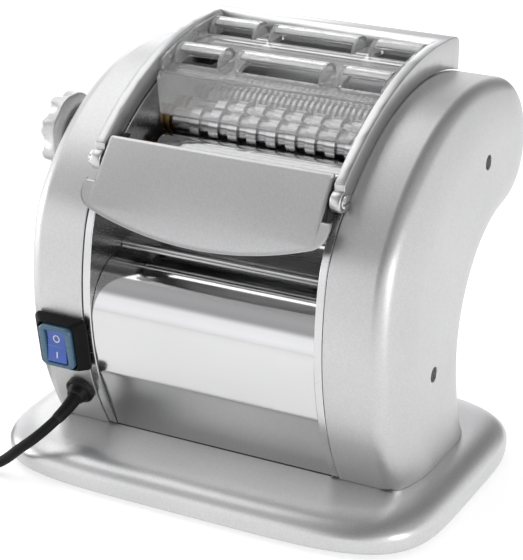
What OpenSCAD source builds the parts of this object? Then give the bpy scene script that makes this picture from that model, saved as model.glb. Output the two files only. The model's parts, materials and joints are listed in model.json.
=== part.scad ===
// Electric pasta maker: a steel body between two moulded side covers, one pair of
// smooth rollers, two pairs of cutter rollers, a gear train and a hinged clear guard.
// Millimetres. +X right, -Y front, +Z up. Z = 0 is the table under the rubber feet.

/* [Base] */
// Width of the base, left to right
base_w = 288; // [280:1:300]
// Depth of the base, front to back
base_d = 199; // [192:1:206]
// Height of the top of the base above the table
base_h = 22.5; // [20:0.5:26]
// How square the base is in plan: 2 is an ellipse
base_power = 4.7; // [4:0.1:6]
// Wall of the base shell
base_wall = 2.5; // [2:0.1:3.5]
// Width of the rounded shoulder of the base
base_shoulder = 20; // [14:1:21]
// Height of the rubber feet
foot_h = 3; // [2:0.5:4]

/* [Side profile] */
// How far the centre of the base lies in front of the origin of the side profile
base_shift = 19; // [16:0.5:22]
// Radius of the front edge of the covers
front_r = 175.5; // [172:0.5:180]
// Radius of the top edge of the covers
top_r = 150.9; // [148:0.1:153]
// Radius that joins the front and top edges
brow_r = 60; // [40:1:80]
// Radius of the rear lobe of the covers
lobe_r = 46.9; // [44:0.1:50]
// Depth from the origin to the narrow waist at the back
waist_y = 25.2; // [23:0.2:28]
// Radius of the hollow under the rear lobe
waist_r = 57.5; // [54:0.5:62]

/* [Side plates and covers] */
// Clear width between the side plates
inner_w = 147; // [145:1:151]
// Thickness of each side plate
plate_t = 5; // [4:0.5:6]
// Width of a cover from its plate to its outer edge
cover_w = 35; // [34:0.5:37]
// How far the outer face of a cover bulges past its edge
cover_bulge = 8.4; // [5:0.2:10]
// Wall of the covers
cover_wall = 2.5; // [2:0.1:3]
// Edge radius of a cover at the front and top
edge_r = 7; // [4:0.5:9]
// Edge radius of a cover at the back
rear_edge_r = 25; // [18:0.5:27]
// Thickness of the steel sheets
sheet_t = 1.2; // [0.8:0.1:2]

/* [Rollers] */
// Radius of the smooth rollers
roller_r = 15; // [14:0.5:15.5]
// Room between the end of a roller's working face and the side plate
roller_room = 5.5; // [5:0.1:8]
// Widest gap between the smooth rollers
gap_max = 2.9; // [2.7:0.1:3.2]
// How far the knob closes the smooth rollers
gap_travel = 2.6; // [2:0.1:2.6]
// Turn of the thickness knob, in degrees
knob_turn = 150; // [120:5:160]
// Outer radius of the cutter rings
cutter_r = 10.2; // [10:0.05:10.4]
// Core radius between the cutter rings
cutter_core_r = 8; // [7.5:0.1:8.3]
// Width of a wide noodle
wide_noodle = 6.5; // [6:0.1:6.5]
// Width of a fine noodle
fine_noodle = 2; // [1.9:0.05:2.1]
// Side clearance between interleaved cutter rings
ring_gap = 0.3; // [0.2:0.05:0.4]

/* [Gears] */
// Module of the drive gears
drive_m = 1.5; // [1.5:0.01:1.52]
// Module of the cutter gears
cutter_m = 1.25; // [1.25:0.01:1.27]
// Face width of the gears
gear_w = 6; // [5:0.5:7]

/* [Guard and visor] */
// Radial clearance between the guard arms and the covers
arm_gap = 0.8; // [0.5:0.1:1.5]
// Width of each guard arm
arm_w = 6.5; // [5:0.5:6.5]
// Radius of the rounded lower ends of the arms
arm_end_r = 6.2; // [6:0.1:6.6]
// Thickness of the clear guard
clear_t = 2.5; // [2:0.1:3]
// Outer radius of the finger hoods
hood_r = 10.5; // [9.5:0.1:10.8]
// Thickness of the visor
visor_t = 2.2; // [1.8:0.1:3]
// How far the wide part of the visor reaches past each side plate
visor_over = 5.5; // [3:0.5:7]

/* [Knob and switch] */
// Overall radius of the thickness knob
knob_r = 25; // [22:0.5:27]
// Height of the thickness knob
knob_h = 15; // [12:0.5:18]
// Number of lobes round the knob
knob_lobes = 8; // [6:1:10]
// Width and height of the rubber boot round the switch
boot_w = 35; // [33:0.5:36]
// Width of the blue switch frame
frame_w = 22.5; // [21:0.5:24]
// Height of the blue switch frame
frame_h = 28.5; // [27:0.5:30]

/* [Cord] */
// Diameter of the mains cord
cord_d = 6.5; // [6:0.1:7]

/* [Hidden] */

// Clearances: a seat that doesn't move, a running fit, and a sliding gap
seat = 0.02;
run = 0.05;
slip = 0.3;

// Heights and depths that the side profile is built from
front_c = [82.3, 114.1];
top_c = [42.3, 85.6];
lobe_y = 71.6;
heel_r = 110.4;

// Stations across the machine
plate_in = inner_w / 2;
plate_out = plate_in + plate_t;
cover_in = plate_out + 0.5;
cover_edge = cover_in + cover_w;
dome_depth = 36;

// ---- plane geometry, [y, z] ------------------------------------------------------

function unit(a) = [cos(a), sin(a)];
function angle_of(v) = atan2(v[1], v[0]);
function arc(c, r, a0, a1, n) = [for (i = [0:n]) c + r * unit(a0 + (a1 - a0) * i / n)];
function lerp(a, b, t) = a + (b - a) * t;
function clamp01(t) = max(0, min(1, t));

// Where circle (a, ra) crosses circle (b, rb), on the left of the line from a to b
function cross_point(a, ra, b, rb) =
    let (d = norm(b - a), e = (b - a) / d,
         s = (ra * ra - rb * rb + d * d) / (2 * d),
         h = sqrt(ra * ra - s * s))
    a + s * e + h * [-e[1], e[0]];

// The point at depth y that lies r from p, below or above it
function below(p, r, y) = [y, p[1] - sqrt(r * r - pow(y - p[0], 2))];
function above(p, r, y) = [y, p[1] + sqrt(r * r - pow(y - p[0], 2))];

brow_c = cross_point(top_c, top_r - brow_r, front_c, front_r - brow_r);
brow_a0 = angle_of(brow_c - front_c);
brow_a1 = angle_of(brow_c - top_c);
lobe_a = acos((lobe_y - top_c[0]) / (top_r - lobe_r));
lobe_c = top_c + (top_r - lobe_r) * unit(lobe_a);
waist_c = below(lobe_c, lobe_r + waist_r, waist_y + waist_r);
waist_a = angle_of(lobe_c - waist_c);
heel_c = [waist_y + heel_r, waist_c[1]];
front_a = 180 + asin((front_c[1] - base_h) / front_r);
heel_a = 180 + asin((heel_c[1] - base_h) / heel_r);

// How far the outline runs straight down below the top of the base, before it is cut
skirt = 26;

// Outline of the covers and side plates: each entry is [y, z, softness of the edge]
function with_soft(pts, s0, s1) =
    [for (i = [0:len(pts) - 1]) [pts[i][0], pts[i][1], lerp(s0, s1, i / max(1, len(pts) - 1))]];
function tail(pts) = [for (i = [1:len(pts) - 1]) pts[i]];
foot_front = front_c + front_r * unit(front_a);
foot_rear = heel_c + heel_r * unit(heel_a);
side_path = concat(
    with_soft([foot_front - [0, skirt]], 0, 0),
    with_soft(arc(front_c, front_r, front_a, brow_a0, 11), 0, 0),
    with_soft(tail(arc(brow_c, brow_r, brow_a0, brow_a1, 4)), 0, 0),
    with_soft(tail(arc(top_c, top_r, brow_a1, lobe_a, 11)), 0, 0),
    with_soft(tail(arc(lobe_c, lobe_r, lobe_a, waist_a - 180, 15)), 0, 1),
    with_soft(tail(arc(waist_c, waist_r, waist_a, 180, 7)), 1, 1),
    with_soft(tail(arc(heel_c, heel_r, 180, heel_a, 4)), 1, 1),
    with_soft([foot_rear - [0, skirt]], 1, 1)
);
path_n = len(side_path);
function path_pt(i) = [side_path[i][0], side_path[i][1]];

// Unit normal that points into the profile at point i of the path
function path_in(i) =
    let (a = path_pt(max(0, i - 1)), b = path_pt(min(path_n - 1, i + 1)), t = (b - a) / norm(b - a))
    [t[1], -t[0]];
function inset_path(d) = [for (i = [0:path_n - 1]) path_pt(i) + d * path_in(i)];

// Part of the path between two points, as a band of thickness t, inset by d
function band(i0, i1, d, t) = concat(
    [for (i = [i0:i1]) path_pt(i) + d * path_in(i)],
    [for (i = [i1:-1:i0]) path_pt(i) + (d + t) * path_in(i)]);

// Triangles that close a ring of n points by pairing point i with point n - 1 - i
function ladder(n) = [for (i = [0:floor(n / 2) - 1], t = [[i, i + 1, n - 1 - i], [i + 1, n - 2 - i, n - 1 - i]])
    if (t[0] != t[1] && t[1] != t[2] && t[0] != t[2]) t];
function flipped(faces) = [for (f = faces) [for (k = [len(f) - 1:-1:0]) f[k]]];
function raised(faces, by) = [for (f = faces) [for (v = f) v + by]];
// Walls between rings of n points, and the two end caps of the stack
function loft_faces(rings, n) = concat(
    [for (k = [0:rings - 2], i = [0:n - 1], t = [0, 1])
        let (j = (i + 1) % n, a = k * n, b = a + n)
        t == 0 ? [a + i, b + j, a + j] : [a + i, b + i, b + j]],
    ladder(n), raised(flipped(ladder(n)), (rings - 1) * n));

// Depth of the front edge of the profile at height z
function front_y(z) = front_c[0] - sqrt(front_r * front_r - pow(front_c[1] - z, 2));
function front_tilt(z) = asin((front_c[1] - z) / front_r);

// ---- placing helpers --------------------------------------------------------------

// Draws a [y, z] shape from x0 to x1
module slab(x0, x1) {
    translate([x0, 0, 0]) rotate([90, 0, 90]) linear_extrude(x1 - x0) children();
}
module rod(p, r, x0, x1) {
    translate([x0, p[0], p[1]]) rotate([0, 90, 0]) cylinder(h = x1 - x0, r = r, $fn = 64);
}
module tube(p, r, bore, x0, x1) {
    difference() {
        rod(p, r, x0, x1);
        rod(p, bore, x0 - 1, x1 + 1);
    }
}
module both_sides() {
    children();
    mirror([1, 0, 0]) children();
}
// Puts +Z of its children on the outward normal of the left cover's front edge
module on_left_front(x, z) {
    translate([x, front_y(z), z]) rotate([90 + front_tilt(z), 0, 0]) children();
}
module rounded_rect(w, h, r) {
    square([w - 2 * r, h], center = true);
    square([w, h - 2 * r], center = true);
    for (x = [-1, 1], y = [-1, 1])
        translate([x * (w / 2 - r), y * (h / 2 - r)]) circle(r, $fn = 32);
}

// ---- axes of the mechanism ---------------------------------------------------------

// Smooth rollers: the rear one stands back by the widest gap and is moved forward
roller_z = 181;
rear_axis = [-12.1, roller_z];
front_axis = rear_axis - [2 * roller_r + gap_max, 0];
knob_axis = [-19.3, 189.5];
roller_face = plate_in - roller_room;
journal_r = 6;
bush_r = 9;

// Cutter rollers: a pair of 15-tooth gears sets the distance within each pair
cutter_z = 200;
pair_teeth = 15;
pair_d = cutter_m * pair_teeth;
wide_a = [6, cutter_z];
wide_b = wide_a + [pair_d, 0];
fine_a = [50, cutter_z];
fine_b = fine_a + [pair_d, 0];
cutter_shaft_r = 4;
cutter_bush_r = 7;

// Drive train on the right: motor, lower idler, upper idler, then roller and cutter
pinion_teeth = 16;
lower_teeth = 32;
upper_teeth = 36;
roller_teeth = 22;
cutter_teeth = 20;
function pitch_r(m, teeth) = m * teeth / 2;
upper_axis = cross_point(wide_a, pitch_r(drive_m, upper_teeth + cutter_teeth),
                         front_axis, pitch_r(drive_m, upper_teeth + roller_teeth));
lower_axis = below(upper_axis, pitch_r(drive_m, upper_teeth + lower_teeth), -3);
motor_axis = below(lower_axis, pitch_r(drive_m, lower_teeth + pinion_teeth), -14);

// Two idlers on the left carry the turn from the wide cutters to the fine ones
idler_teeth = 14;
idler_r = pitch_r(cutter_m, idler_teeth);
idler_mid = (wide_b[0] + fine_a[0]) / 2;
idler_a = above(wide_b, pitch_r(cutter_m, pair_teeth + idler_teeth), idler_mid - idler_r);
idler_b = [2 * idler_mid - idler_a[0], idler_a[1]];
idler_bore_r = 3;

// Gear planes: mesh gears next to the right plate, drive gears outside them
mesh_x = plate_out + 2;
mesh_w = 7;
drive_x = mesh_x + mesh_w + 3;
left_gear_x = plate_out + 2;

// ---- gears -------------------------------------------------------------------------

// Involute angle in degrees at radius r on base circle rb
function involute(r, rb) =
    let (t = sqrt(max(0, r * r / (rb * rb) - 1))) t * 180 / PI - atan(t);

// Half of a tooth's angle at radius r; thin < 1 leaves backlash
function half_tooth(m, teeth, r, thin) =
    let (rp = pitch_r(m, teeth), rb = rp * cos(20))
    90 / teeth * thin + involute(rp, rb) - involute(max(r, rb), rb);

function tooth(m, teeth, radii, thin, mid) = concat(
    [for (r = radii) r * unit(mid - half_tooth(m, teeth, r, thin))],
    [for (i = [len(radii) - 1:-1:0]) radii[i] * unit(mid + half_tooth(m, teeth, radii[i], thin))]);

function gear_outline(m, teeth, add, ded, thin, phase) =
    let (rp = pitch_r(m, teeth), radii = [rp - ded, rp - 0.35 * ded, rp + 0.45 * add, rp + add])
    [for (i = [0:teeth - 1], p = tooth(m, teeth, radii, thin, phase + 360 * i / teeth)) p];

// Phase of a gear of tb teeth that meshes with one of ta teeth, at phase pa, at angle beta
function mesh_phase(pa, ta, tb, beta) = beta + 180 - 180 / tb + (beta - pa) * ta / tb;

module gear(p, m, teeth, phase, bore, x0, w) {
    difference() {
        slab(x0, x0 + w)
            translate(p) polygon(gear_outline(m, teeth, m, 1.25 * m, 0.9, phase));
        rod(p, bore + seat, x0 - 1, x0 + w + 1);
    }
}

// Gear with a thin web and a rim, for the large idlers
module webbed_gear(p, m, teeth, phase, bore, hub, x0, w) {
    rim = pitch_r(m, teeth) - 2.4 * m;
    difference() {
        gear(p, m, teeth, phase, bore, x0, w);
        for (side = [x0 - 1, x0 + w - w / 3]) difference() {
            rod(p, rim, side, side + w / 3 + 1);
            rod(p, hub, side - 1, side + w / 3 + 2);
        }
    }
}

drive_phase = 0;
upper_phase = mesh_phase(drive_phase, roller_teeth, upper_teeth, angle_of(upper_axis - front_axis));
cutter_phase = mesh_phase(upper_phase, upper_teeth, cutter_teeth, angle_of(wide_a - upper_axis));
lower_phase = mesh_phase(upper_phase, upper_teeth, lower_teeth, angle_of(lower_axis - upper_axis));
pinion_phase = mesh_phase(lower_phase, lower_teeth, pinion_teeth, angle_of(motor_axis - lower_axis));
wide_b_phase = mesh_phase(0, pair_teeth, pair_teeth, 0);
idler_a_phase = mesh_phase(wide_b_phase, pair_teeth, idler_teeth, angle_of(idler_a - wide_b));
idler_b_phase = mesh_phase(idler_a_phase, idler_teeth, idler_teeth, 0);
fine_a_phase = mesh_phase(idler_b_phase, idler_teeth, pair_teeth, angle_of(fine_a - idler_b));
fine_b_phase = mesh_phase(fine_a_phase, pair_teeth, pair_teeth, 0);

// ---- base --------------------------------------------------------------------------

base_n = 72;
function squircle(rx, ry, a) =
    let (k = pow(pow(abs(cos(a)), base_power) + pow(abs(sin(a)), base_power), -1 / base_power))
    [rx * k * cos(a), ry * k * sin(a) - base_shift];

// Loft of level rings: each entry is [inset, z]
module base_loft(levels) {
    n = len(levels);
    pts = [for (l = levels, i = [0:base_n - 1])
        let (q = squircle(base_w / 2 - l[0], base_d / 2 - l[0], 45 + 360 * i / base_n)) [q[0], q[1], l[1]]];
    polyhedron(pts, loft_faces(n, base_n));
}

// Quarter-round shoulder, wider than it is high
function shoulder(skin) = [for (a = [0:18:90])
    [skin + base_shoulder * (1 - cos(a)) * 0.96,
     lerp(base_h - 11.5, base_h, sin(a)) - skin]];
foot_at = [[-108, -84], [108, -84], [-108, 46], [108, 46]];

module base_shell() {
    color([0.78, 0.79, 0.80]) difference() {
        base_loft(concat([[1.2, foot_h], [0.2, foot_h + 3]], shoulder(0)));
        base_loft(concat([[base_wall + 1, foot_h - 1]], shoulder(base_wall)));
    }
}

module base_plate() {
    color([0.35, 0.36, 0.37]) difference() {
        base_loft([[base_wall + 1.6, foot_h], [base_wall + 1.6, foot_h + 2]]);
        for (p = foot_at)
            translate([p[0], p[1], foot_h - 1]) cylinder(h = 4, r = 2.2, $fn = 32);
    }
}

module rubber_feet() {
    color([0.1, 0.1, 0.1]) for (p = foot_at)
        translate([p[0], p[1], 0]) difference() {
            rotate_extrude($fn = 64)
                polygon([[0, 0], [8.4, 0], [9, 0.6], [9.6, foot_h], [0, foot_h]]);
            translate([0, 0, -1]) cylinder(h = foot_h + 2, r = 2.2, $fn = 32);
            translate([0, 0, -1]) cylinder(h = 2.6, r = 4.2, $fn = 32);
        }
}

module foot_screws() {
    color([0.6, 0.6, 0.6]) for (p = foot_at) translate([p[0], p[1], 0]) {
        translate([0, 0, 1.6]) cylinder(h = 8, r = 2.1, $fn = 32);
        translate([0, 0, 0.5]) cylinder(h = 1.1, r = 3.9, $fn = 32);
        translate([0, 0, foot_h + 2]) cylinder(h = 2, r = 4, $fn = 6);
    }
}

// ---- side plates and tie bars -------------------------------------------------------

tie_at = [[-62, 44], [20, 42], [20, 128], [94, 196]];
tie_r = 5;
motor_hole_r = 9;
block_y = 22;
block_z = 24;

// Screws that hold the covers: a post on each cover, at the same place on both sides
post_low = [-33.9, 85.6];
post_right = [38.6, 192.6];
post_left = [86, 214];

module plate_blank() {
    difference() {
        polygon(concat(inset_path(0.6)));
        translate([-200, base_h - 100]) square([400, 100]);
    }
}

module side_plate(right) {
    difference() {
        union() {
            slab(plate_in, plate_out) plate_blank();
            translate([plate_in - 12, foot_front[0] + 12, base_h])
                cube([12.5, foot_rear[0] - foot_front[0] - 24, 2.5]);
        }
        rod(front_axis, bush_r + seat, plate_in - 1, plate_out + 1);
        slab(plate_in - 1, plate_out + 1)
            translate(rear_axis + [-gap_travel / 2, 0])
                square([block_y + gap_travel + 2 * slip, block_z + 2 * run], center = true);
        for (p = [wide_a, wide_b, fine_a, fine_b])
            rod(p, cutter_bush_r + seat, plate_in - 1, plate_out + 1);
        if (right) rod(motor_axis, motor_hole_r, plate_in - 1, plate_out + 1);
        for (p = tie_at) rod(p, 2.1, plate_in - 1, plate_out + 1);
        for (p = right ? [lower_axis, upper_axis] : [idler_a, idler_b])
            rod(p, idler_bore_r + seat, plate_in - 1, plate_out + 1);
    }
}
module right_side_plate() { color([0.80, 0.81, 0.82]) side_plate(true); }
module left_side_plate() { color([0.80, 0.81, 0.82]) mirror([1, 0, 0]) side_plate(false); }

module tie_bars() {
    color([0.7, 0.7, 0.7]) for (p = tie_at)
        difference() {
            rod(p, tie_r, -plate_in, plate_in);
            both_sides() rod(p, 2.1, plate_in - 12, plate_in + 1);
        }
}

module tie_bar_screws() {
    color([0.55, 0.55, 0.55]) for (p = tie_at) both_sides() {
        rod(p, 2, plate_in - 10, plate_out);
        rod(p, 3.6, plate_out, plate_out + 2.2);
    }
}

// ---- side covers --------------------------------------------------------------------

function soft_r(i) = lerp(edge_r, rear_edge_r, side_path[i][2]);
function face_x(d) = cover_edge + cover_bulge * (1 - pow(1 - clamp01(d / dome_depth), 2));
// Ring k of the loft: 0 and 1 are the straight rim, 1 to 4 the rounded edge, 5 and 6 the face
ring_count = 7;
function ring_depth(k, f) =
    k <= 1 ? 0 : k <= 4 ? f * (1 - cos(30 * (k - 1))) : lerp(f, dome_depth, k == 5 ? 0.4 : 1);
function ring_x(k, f) =
    k == 0 ? cover_in : face_x(ring_depth(k, f)) - (k <= 4 ? f * (1 - sin(30 * (k - 1))) : 0);

module cover_loft(skin) {
    pts = [for (k = [0:ring_count - 1], i = [0:path_n - 1])
        let (f = soft_r(i), q = path_pt(i) + (ring_depth(k, f) + skin) * path_in(i))
        [ring_x(k, f) - (k == 0 ? (skin > 0 ? 1 : 0) : skin), q[0], q[1]]];
    polyhedron(pts, flipped(loft_faces(ring_count, path_n)));
}

post_r = 6.4;
head_r = 4.2;
head_x = cover_edge;

module cover(posts) {
    difference() {
        union() {
            difference() {
                cover_loft(0);
                cover_loft(cover_wall);
            }
            for (p = posts) rod(p, post_r, cover_in, face_x(dome_depth) - cover_wall);
        }
        translate([0, -200, base_h - 100]) cube([200, 400, 100]);
        for (p = posts) {
            rod(p, 2.2, cover_in - 1, cover_edge + 20);
            rod(p, head_r + slip, head_x, cover_edge + 20);
        }
    }
}

module right_cover() {
    color([0.76, 0.77, 0.78]) cover([post_low, post_right]);
}

knob_bush_r = 9;
switch_x = -(cover_in + 14.3);
switch_z = 85.6;
gland_x = -(cover_in + 10);
gland_z = 50;
gland_r = 5.6;
module left_cover() {
    color([0.76, 0.77, 0.78]) difference() {
        mirror([1, 0, 0]) cover([post_low, post_left]);
        mirror([1, 0, 0]) rod(knob_axis, knob_bush_r + seat, cover_edge - 20, cover_edge + 20);
        on_left_front(switch_x, switch_z)
            translate([0, 0, -10]) linear_extrude(20) square([frame_w - 1, frame_h - 1], center = true);
        on_left_front(gland_x, gland_z)
            translate([0, 0, -10]) cylinder(h = 20, r = gland_r + seat, $fn = 48);
    }
}

module cover_screw(p) {
    rod(p, 2, plate_out + slip, head_x);
    difference() {
        rod(p, head_r, head_x, head_x + 2.6);
        slab(head_x + 1.4, head_x + 3) translate(p) {
            square([5, 1.1], center = true);
            square([1.1, 5], center = true);
        }
    }
}
module cover_screws() {
    color([0.75, 0.75, 0.76]) {
        for (p = [post_low, post_right]) cover_screw(p);
        mirror([1, 0, 0]) for (p = [post_low, post_left]) cover_screw(p);
    }
}

// ---- sheet metal between the plates ---------------------------------------------------

panel_inset = 1.5;
fold_z = 67;
bend_z = 100;
bend_r = 33.5;
shelf_slope = 15;
shelf_tail = 22;
slide_start = -55.5;
slide_end = 90;
hem_w = 4;
sheet_half = plate_in - 0.3;
seam_y = foot_front[0] + panel_inset;
fold_pt = [front_y(fold_z) + panel_inset, fold_z];
bend_a = 180 + asin((front_c[1] - bend_z) / (front_r - panel_inset));
bend_c = front_c + unit(bend_a) * (front_r - panel_inset - bend_r);
shelf_up = unit(90 + shelf_slope);
shelf_dir = unit(shelf_slope);
shelf_at = bend_c + shelf_up * bend_r;

// Outer line of the front panel: lower face, fold, upper face, bend and shelf, moved in by d
function panel_line(d) = concat(
    [[seam_y + d, base_h]],
    arc(front_c, front_r - panel_inset - d,
        180 + asin((front_c[1] - fold_z) / (front_r - panel_inset)), bend_a, 6),
    arc(bend_c, bend_r - d, lerp(bend_a, 90 + shelf_slope, 1 / 9), 90 + shelf_slope, 8),
    [shelf_at + shelf_dir * shelf_tail - shelf_up * d]);
module sheet_between(line, inner) {
    slab(-sheet_half, sheet_half)
        polygon(concat(line, [for (i = [len(inner) - 1:-1:0]) inner[i]]));
}
module front_panel() {
    color([0.86, 0.87, 0.88]) sheet_between(panel_line(0), panel_line(sheet_t));
}

// The back follows the waist and the lobe up to the guard's rear bar
lobe_i0 = 1 + 12 + 4 + 11 + 1;
module rear_panel() {
    color([0.80, 0.81, 0.82]) slab(-sheet_half, sheet_half) difference() {
        polygon(band(lobe_i0, path_n - 2, panel_inset, sheet_t));
        translate([-200, base_h - 100]) square([400, 100]);
    }
}

// The slide lies on the tail of the shelf and carries on up under the cutters
function on_slide(y, up) = shelf_at + shelf_dir * ((y - shelf_at[0]) / cos(shelf_slope)) + shelf_up * up;
module pasta_slide() {
    color([0.82, 0.83, 0.84]) slab(-sheet_half, sheet_half)
        polygon([on_slide(slide_start, 0.1), on_slide(slide_end, 0.1), on_slide(slide_end, 0.1 + sheet_t),
                 on_slide(slide_start + hem_w + 0.8, 0.1 + sheet_t), on_slide(slide_start + hem_w, 2 * sheet_t),
                 on_slide(slide_start + 0.8, 2 * sheet_t), on_slide(slide_start, 1.6 * sheet_t)]);
}

// ---- visor and hinge brackets -----------------------------------------------------------

pivot_z = 196.3;
pivot = above(top_c, 0, top_c[0]) - [sqrt(pow(top_r + arm_gap + arm_end_r, 2) - pow(pivot_z - top_c[1], 2)), 0]
      + [0, pivot_z - top_c[1]];
arm_in = plate_in + 0.5;
arm_out = arm_in + arm_w;
visor_top = 209.8;
visor_notch = pivot_z - arm_end_r - 2.3;
visor_mid = 162.5;
visor_corner_z = 172;
visor_corner_r = 9;

// Front view of the visor: a neck between the arms, wide below them, with a curved lower edge
visor_half = plate_out + visor_over;
visor_neck = plate_in - 1.4;
visor_sag = visor_half - visor_corner_r;
function visor_low(x) = x <= visor_sag
    ? visor_corner_z - (visor_corner_z - visor_mid) * (1 - pow(x / visor_sag, 2))
    : visor_corner_z + visor_corner_r - sqrt(max(0, pow(visor_corner_r, 2) - pow(x - visor_sag, 2)));
function visor_high(x) = x <= visor_neck + 0.1 ? visor_top
    : visor_notch - 3 + sqrt(max(0, 9 - pow(max(0, x - visor_half + 3), 2)));
visor_side_x = concat([for (i = [1:6]) visor_neck * i / 6], [visor_neck + 1.2],
                      [for (a = [0:18:90]) visor_sag + visor_corner_r * sin(a)]);

// Depth of the visor's outer face: an arc from top to bottom that falls back at the sides
visor_top_y = -66.2;
visor_low_y = -96.6;
visor_fall = 6;
function visor_y(x, z) =
    let (s = (visor_top - z) / (visor_top - visor_mid), ease = pow(clamp01(s * 1.4), 1.5))
    lerp(visor_top_y, visor_low_y, s) - 2.6 * 4 * s * (1 - s) + visor_fall * ease * pow(x / 80, 2);

// Depth of the lip along the lower edge, deep only between the side plates
visor_lip = 8;
function visor_lip_at(x) = lerp(visor_lip, visor_t, clamp01((x - 62) / 6));

// One closed sheet: an outer and an inner grid of points joined round the edge
visor_rows = 9;
module visor() {
    half = visor_side_x;
    xs = concat([for (i = [len(half) - 1:-1:0]) -half[i]], [0], half);
    cols = len(xs);
    rows = visor_rows + 1;
    count = cols * rows;
    pts = [for (skin = [0, 1], r = [0:visor_rows], x = xs)
        let (a = abs(x), lo = visor_low(a), up = lo + visor_t,
             z = r == 0 ? lo : lerp(up, visor_high(a), (r - 1) / (visor_rows - 1)))
        [x, visor_y(x, z) + skin * (r == 0 ? visor_lip_at(a) : visor_t), z]];
    edge = concat([for (c = [0:cols - 1]) c],
                  [for (r = [1:visor_rows]) r * cols + cols - 1],
                  [for (c = [cols - 2:-1:0]) visor_rows * cols + c],
                  [for (r = [visor_rows - 1:-1:1]) r * cols]);
    n = len(edge);
    front = [for (r = [0:visor_rows - 1], c = [0:cols - 2], t = [0, 1])
        let (a = r * cols + c, b = a + cols)
        t == 0 ? [a, b, b + 1] : [a, b + 1, a + 1]];
    rim = [for (i = [0:n - 1], t = [0, 1])
        let (a = edge[i], b = edge[(i + 1) % n])
        t == 0 ? [a, b, b + count] : [a, b + count, a + count]];
    color([0.77, 0.78, 0.79])
        polyhedron(pts, concat(front, raised(flipped(front), count), rim));
}

bracket_t = 3.4;
pin_r = 1.8;
bracket_low = 176;
bracket_high = 206;
function bracket_edge(back) = [for (i = [0:8])
    let (z = lerp(bracket_low, bracket_high, i / 8)) [visor_y(plate_in, z) + back, z]];
module bracket_web(near, far) {
    front = bracket_edge(near);
    back = bracket_edge(far);
    polygon(concat(front, [for (i = [8:-1:0]) back[i]]));
}
module hinge_brackets() {
    color([0.5, 0.5, 0.52]) both_sides() difference() {
        union() {
            slab(plate_in - bracket_t, visor_neck - 0.1) bracket_web(visor_t + 0.15, visor_t + 6);
            slab(plate_in - bracket_t, plate_in) bracket_web(visor_t + 1.5, visor_t + 20);
        }
        rod(pivot, pin_r + seat, plate_in - 10, plate_in + 1);
    }
}
module guard_pivots() {
    color([0.8, 0.8, 0.82]) both_sides() {
        rod(pivot, pin_r, plate_in - bracket_t, arm_in - 0.1);
        rod(pivot, 3.2, arm_in - 0.1, arm_out + 0.2);
        difference() {
            rod(pivot, 4.6, arm_out + 0.2, arm_out + 2.2);
            slab(arm_out + 1.2, arm_out + 3) translate(pivot) square([10, 1.2], center = true);
        }
    }
}

// ---- guard --------------------------------------------------------------------------------

arm_c = [60.1, 48.5];
arm_r = 204.5;
arm_rear = 89.5;
bar_y = 71;
bar_z = 235.5;
module arm_shape() {
    difference() {
        union() {
            difference() {
                intersection() {
                    translate(arm_c) circle(arm_r, $fn = 200);
                    translate([pivot[0], 180]) square([arm_rear - pivot[0], 100]);
                }
                translate(top_c) circle(top_r + arm_gap, $fn = 200);
                // the lower end is cut square to the arm at the pivot
                translate(pivot) rotate(angle_of(pivot - top_c))
                    translate([-30, 0]) square([60, 60]);
            }
            translate(pivot) circle(arm_end_r, $fn = 64);
        }
        translate([arm_rear - 4, bar_z + 13]) difference() {
            square([10, 10]);
            circle(4, $fn = 48);
        }
    }
}
module bar_shape() {
    intersection() {
        translate([bar_y, bar_z]) square([arm_rear - bar_y, 40]);
        translate(arm_c) circle(arm_r, $fn = 200);
    }
}
module guard_frame() {
    color([0.80, 0.81, 0.82]) difference() {
        union() {
            both_sides() slab(arm_in, arm_out) arm_shape();
            slab(-arm_in, arm_in) bar_shape();
        }
        slab(-arm_in + 8, arm_in - 8)
            translate([bar_y + 3, bar_z - 1]) square([arm_rear - bar_y - 6, 10]);
        both_sides() rod(pivot, 3.2 + run, arm_in - 1, arm_out + 1);
        both_sides() for (y = rivet_y) rod([y, sheet_z(y) + 4.5], 1.5 + seat, arm_in - 1, arm_in + 2);
        rod(magnet_at, 3 + seat, -arm_in - 4, -arm_in + 1);
    }
}

// Clear guard: a sloping front, then a sheet under the arms with two rows of hoods
clear_low = [-26.7, 214.4];
clear_knee = [-9, 234];
sheet_r = arm_r - 10;
function sheet_z(y) = above(arm_c, sheet_r, y)[1];
clear_rear = bar_y - slip;
hood_y = [(wide_a[0] + wide_b[0]) / 2, (fine_a[0] + fine_b[0]) / 2];
hood_end = plate_in - 3;
hood_gap = [29, 38.5];
hood_x = [[-hood_end, -hood_gap[1]], [-hood_gap[0], hood_gap[0]], [hood_gap[1], hood_end]];
function clear_line(d) = concat(
    [clear_low + [d * 0.77, -d * 0.64] * 1, clear_knee + [d * 0.6, -d * 0.9]],
    [for (i = [1:12]) let (y = lerp(clear_knee[0], clear_rear, i / 12)) [y, above(arm_c, sheet_r - d, y)[1]]]);
clear_half = arm_in - slip;
clear_low_half = plate_in - 11.5;
hood_mouth = 132;
slot_front = 9;
slot_rear = 7;
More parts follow.
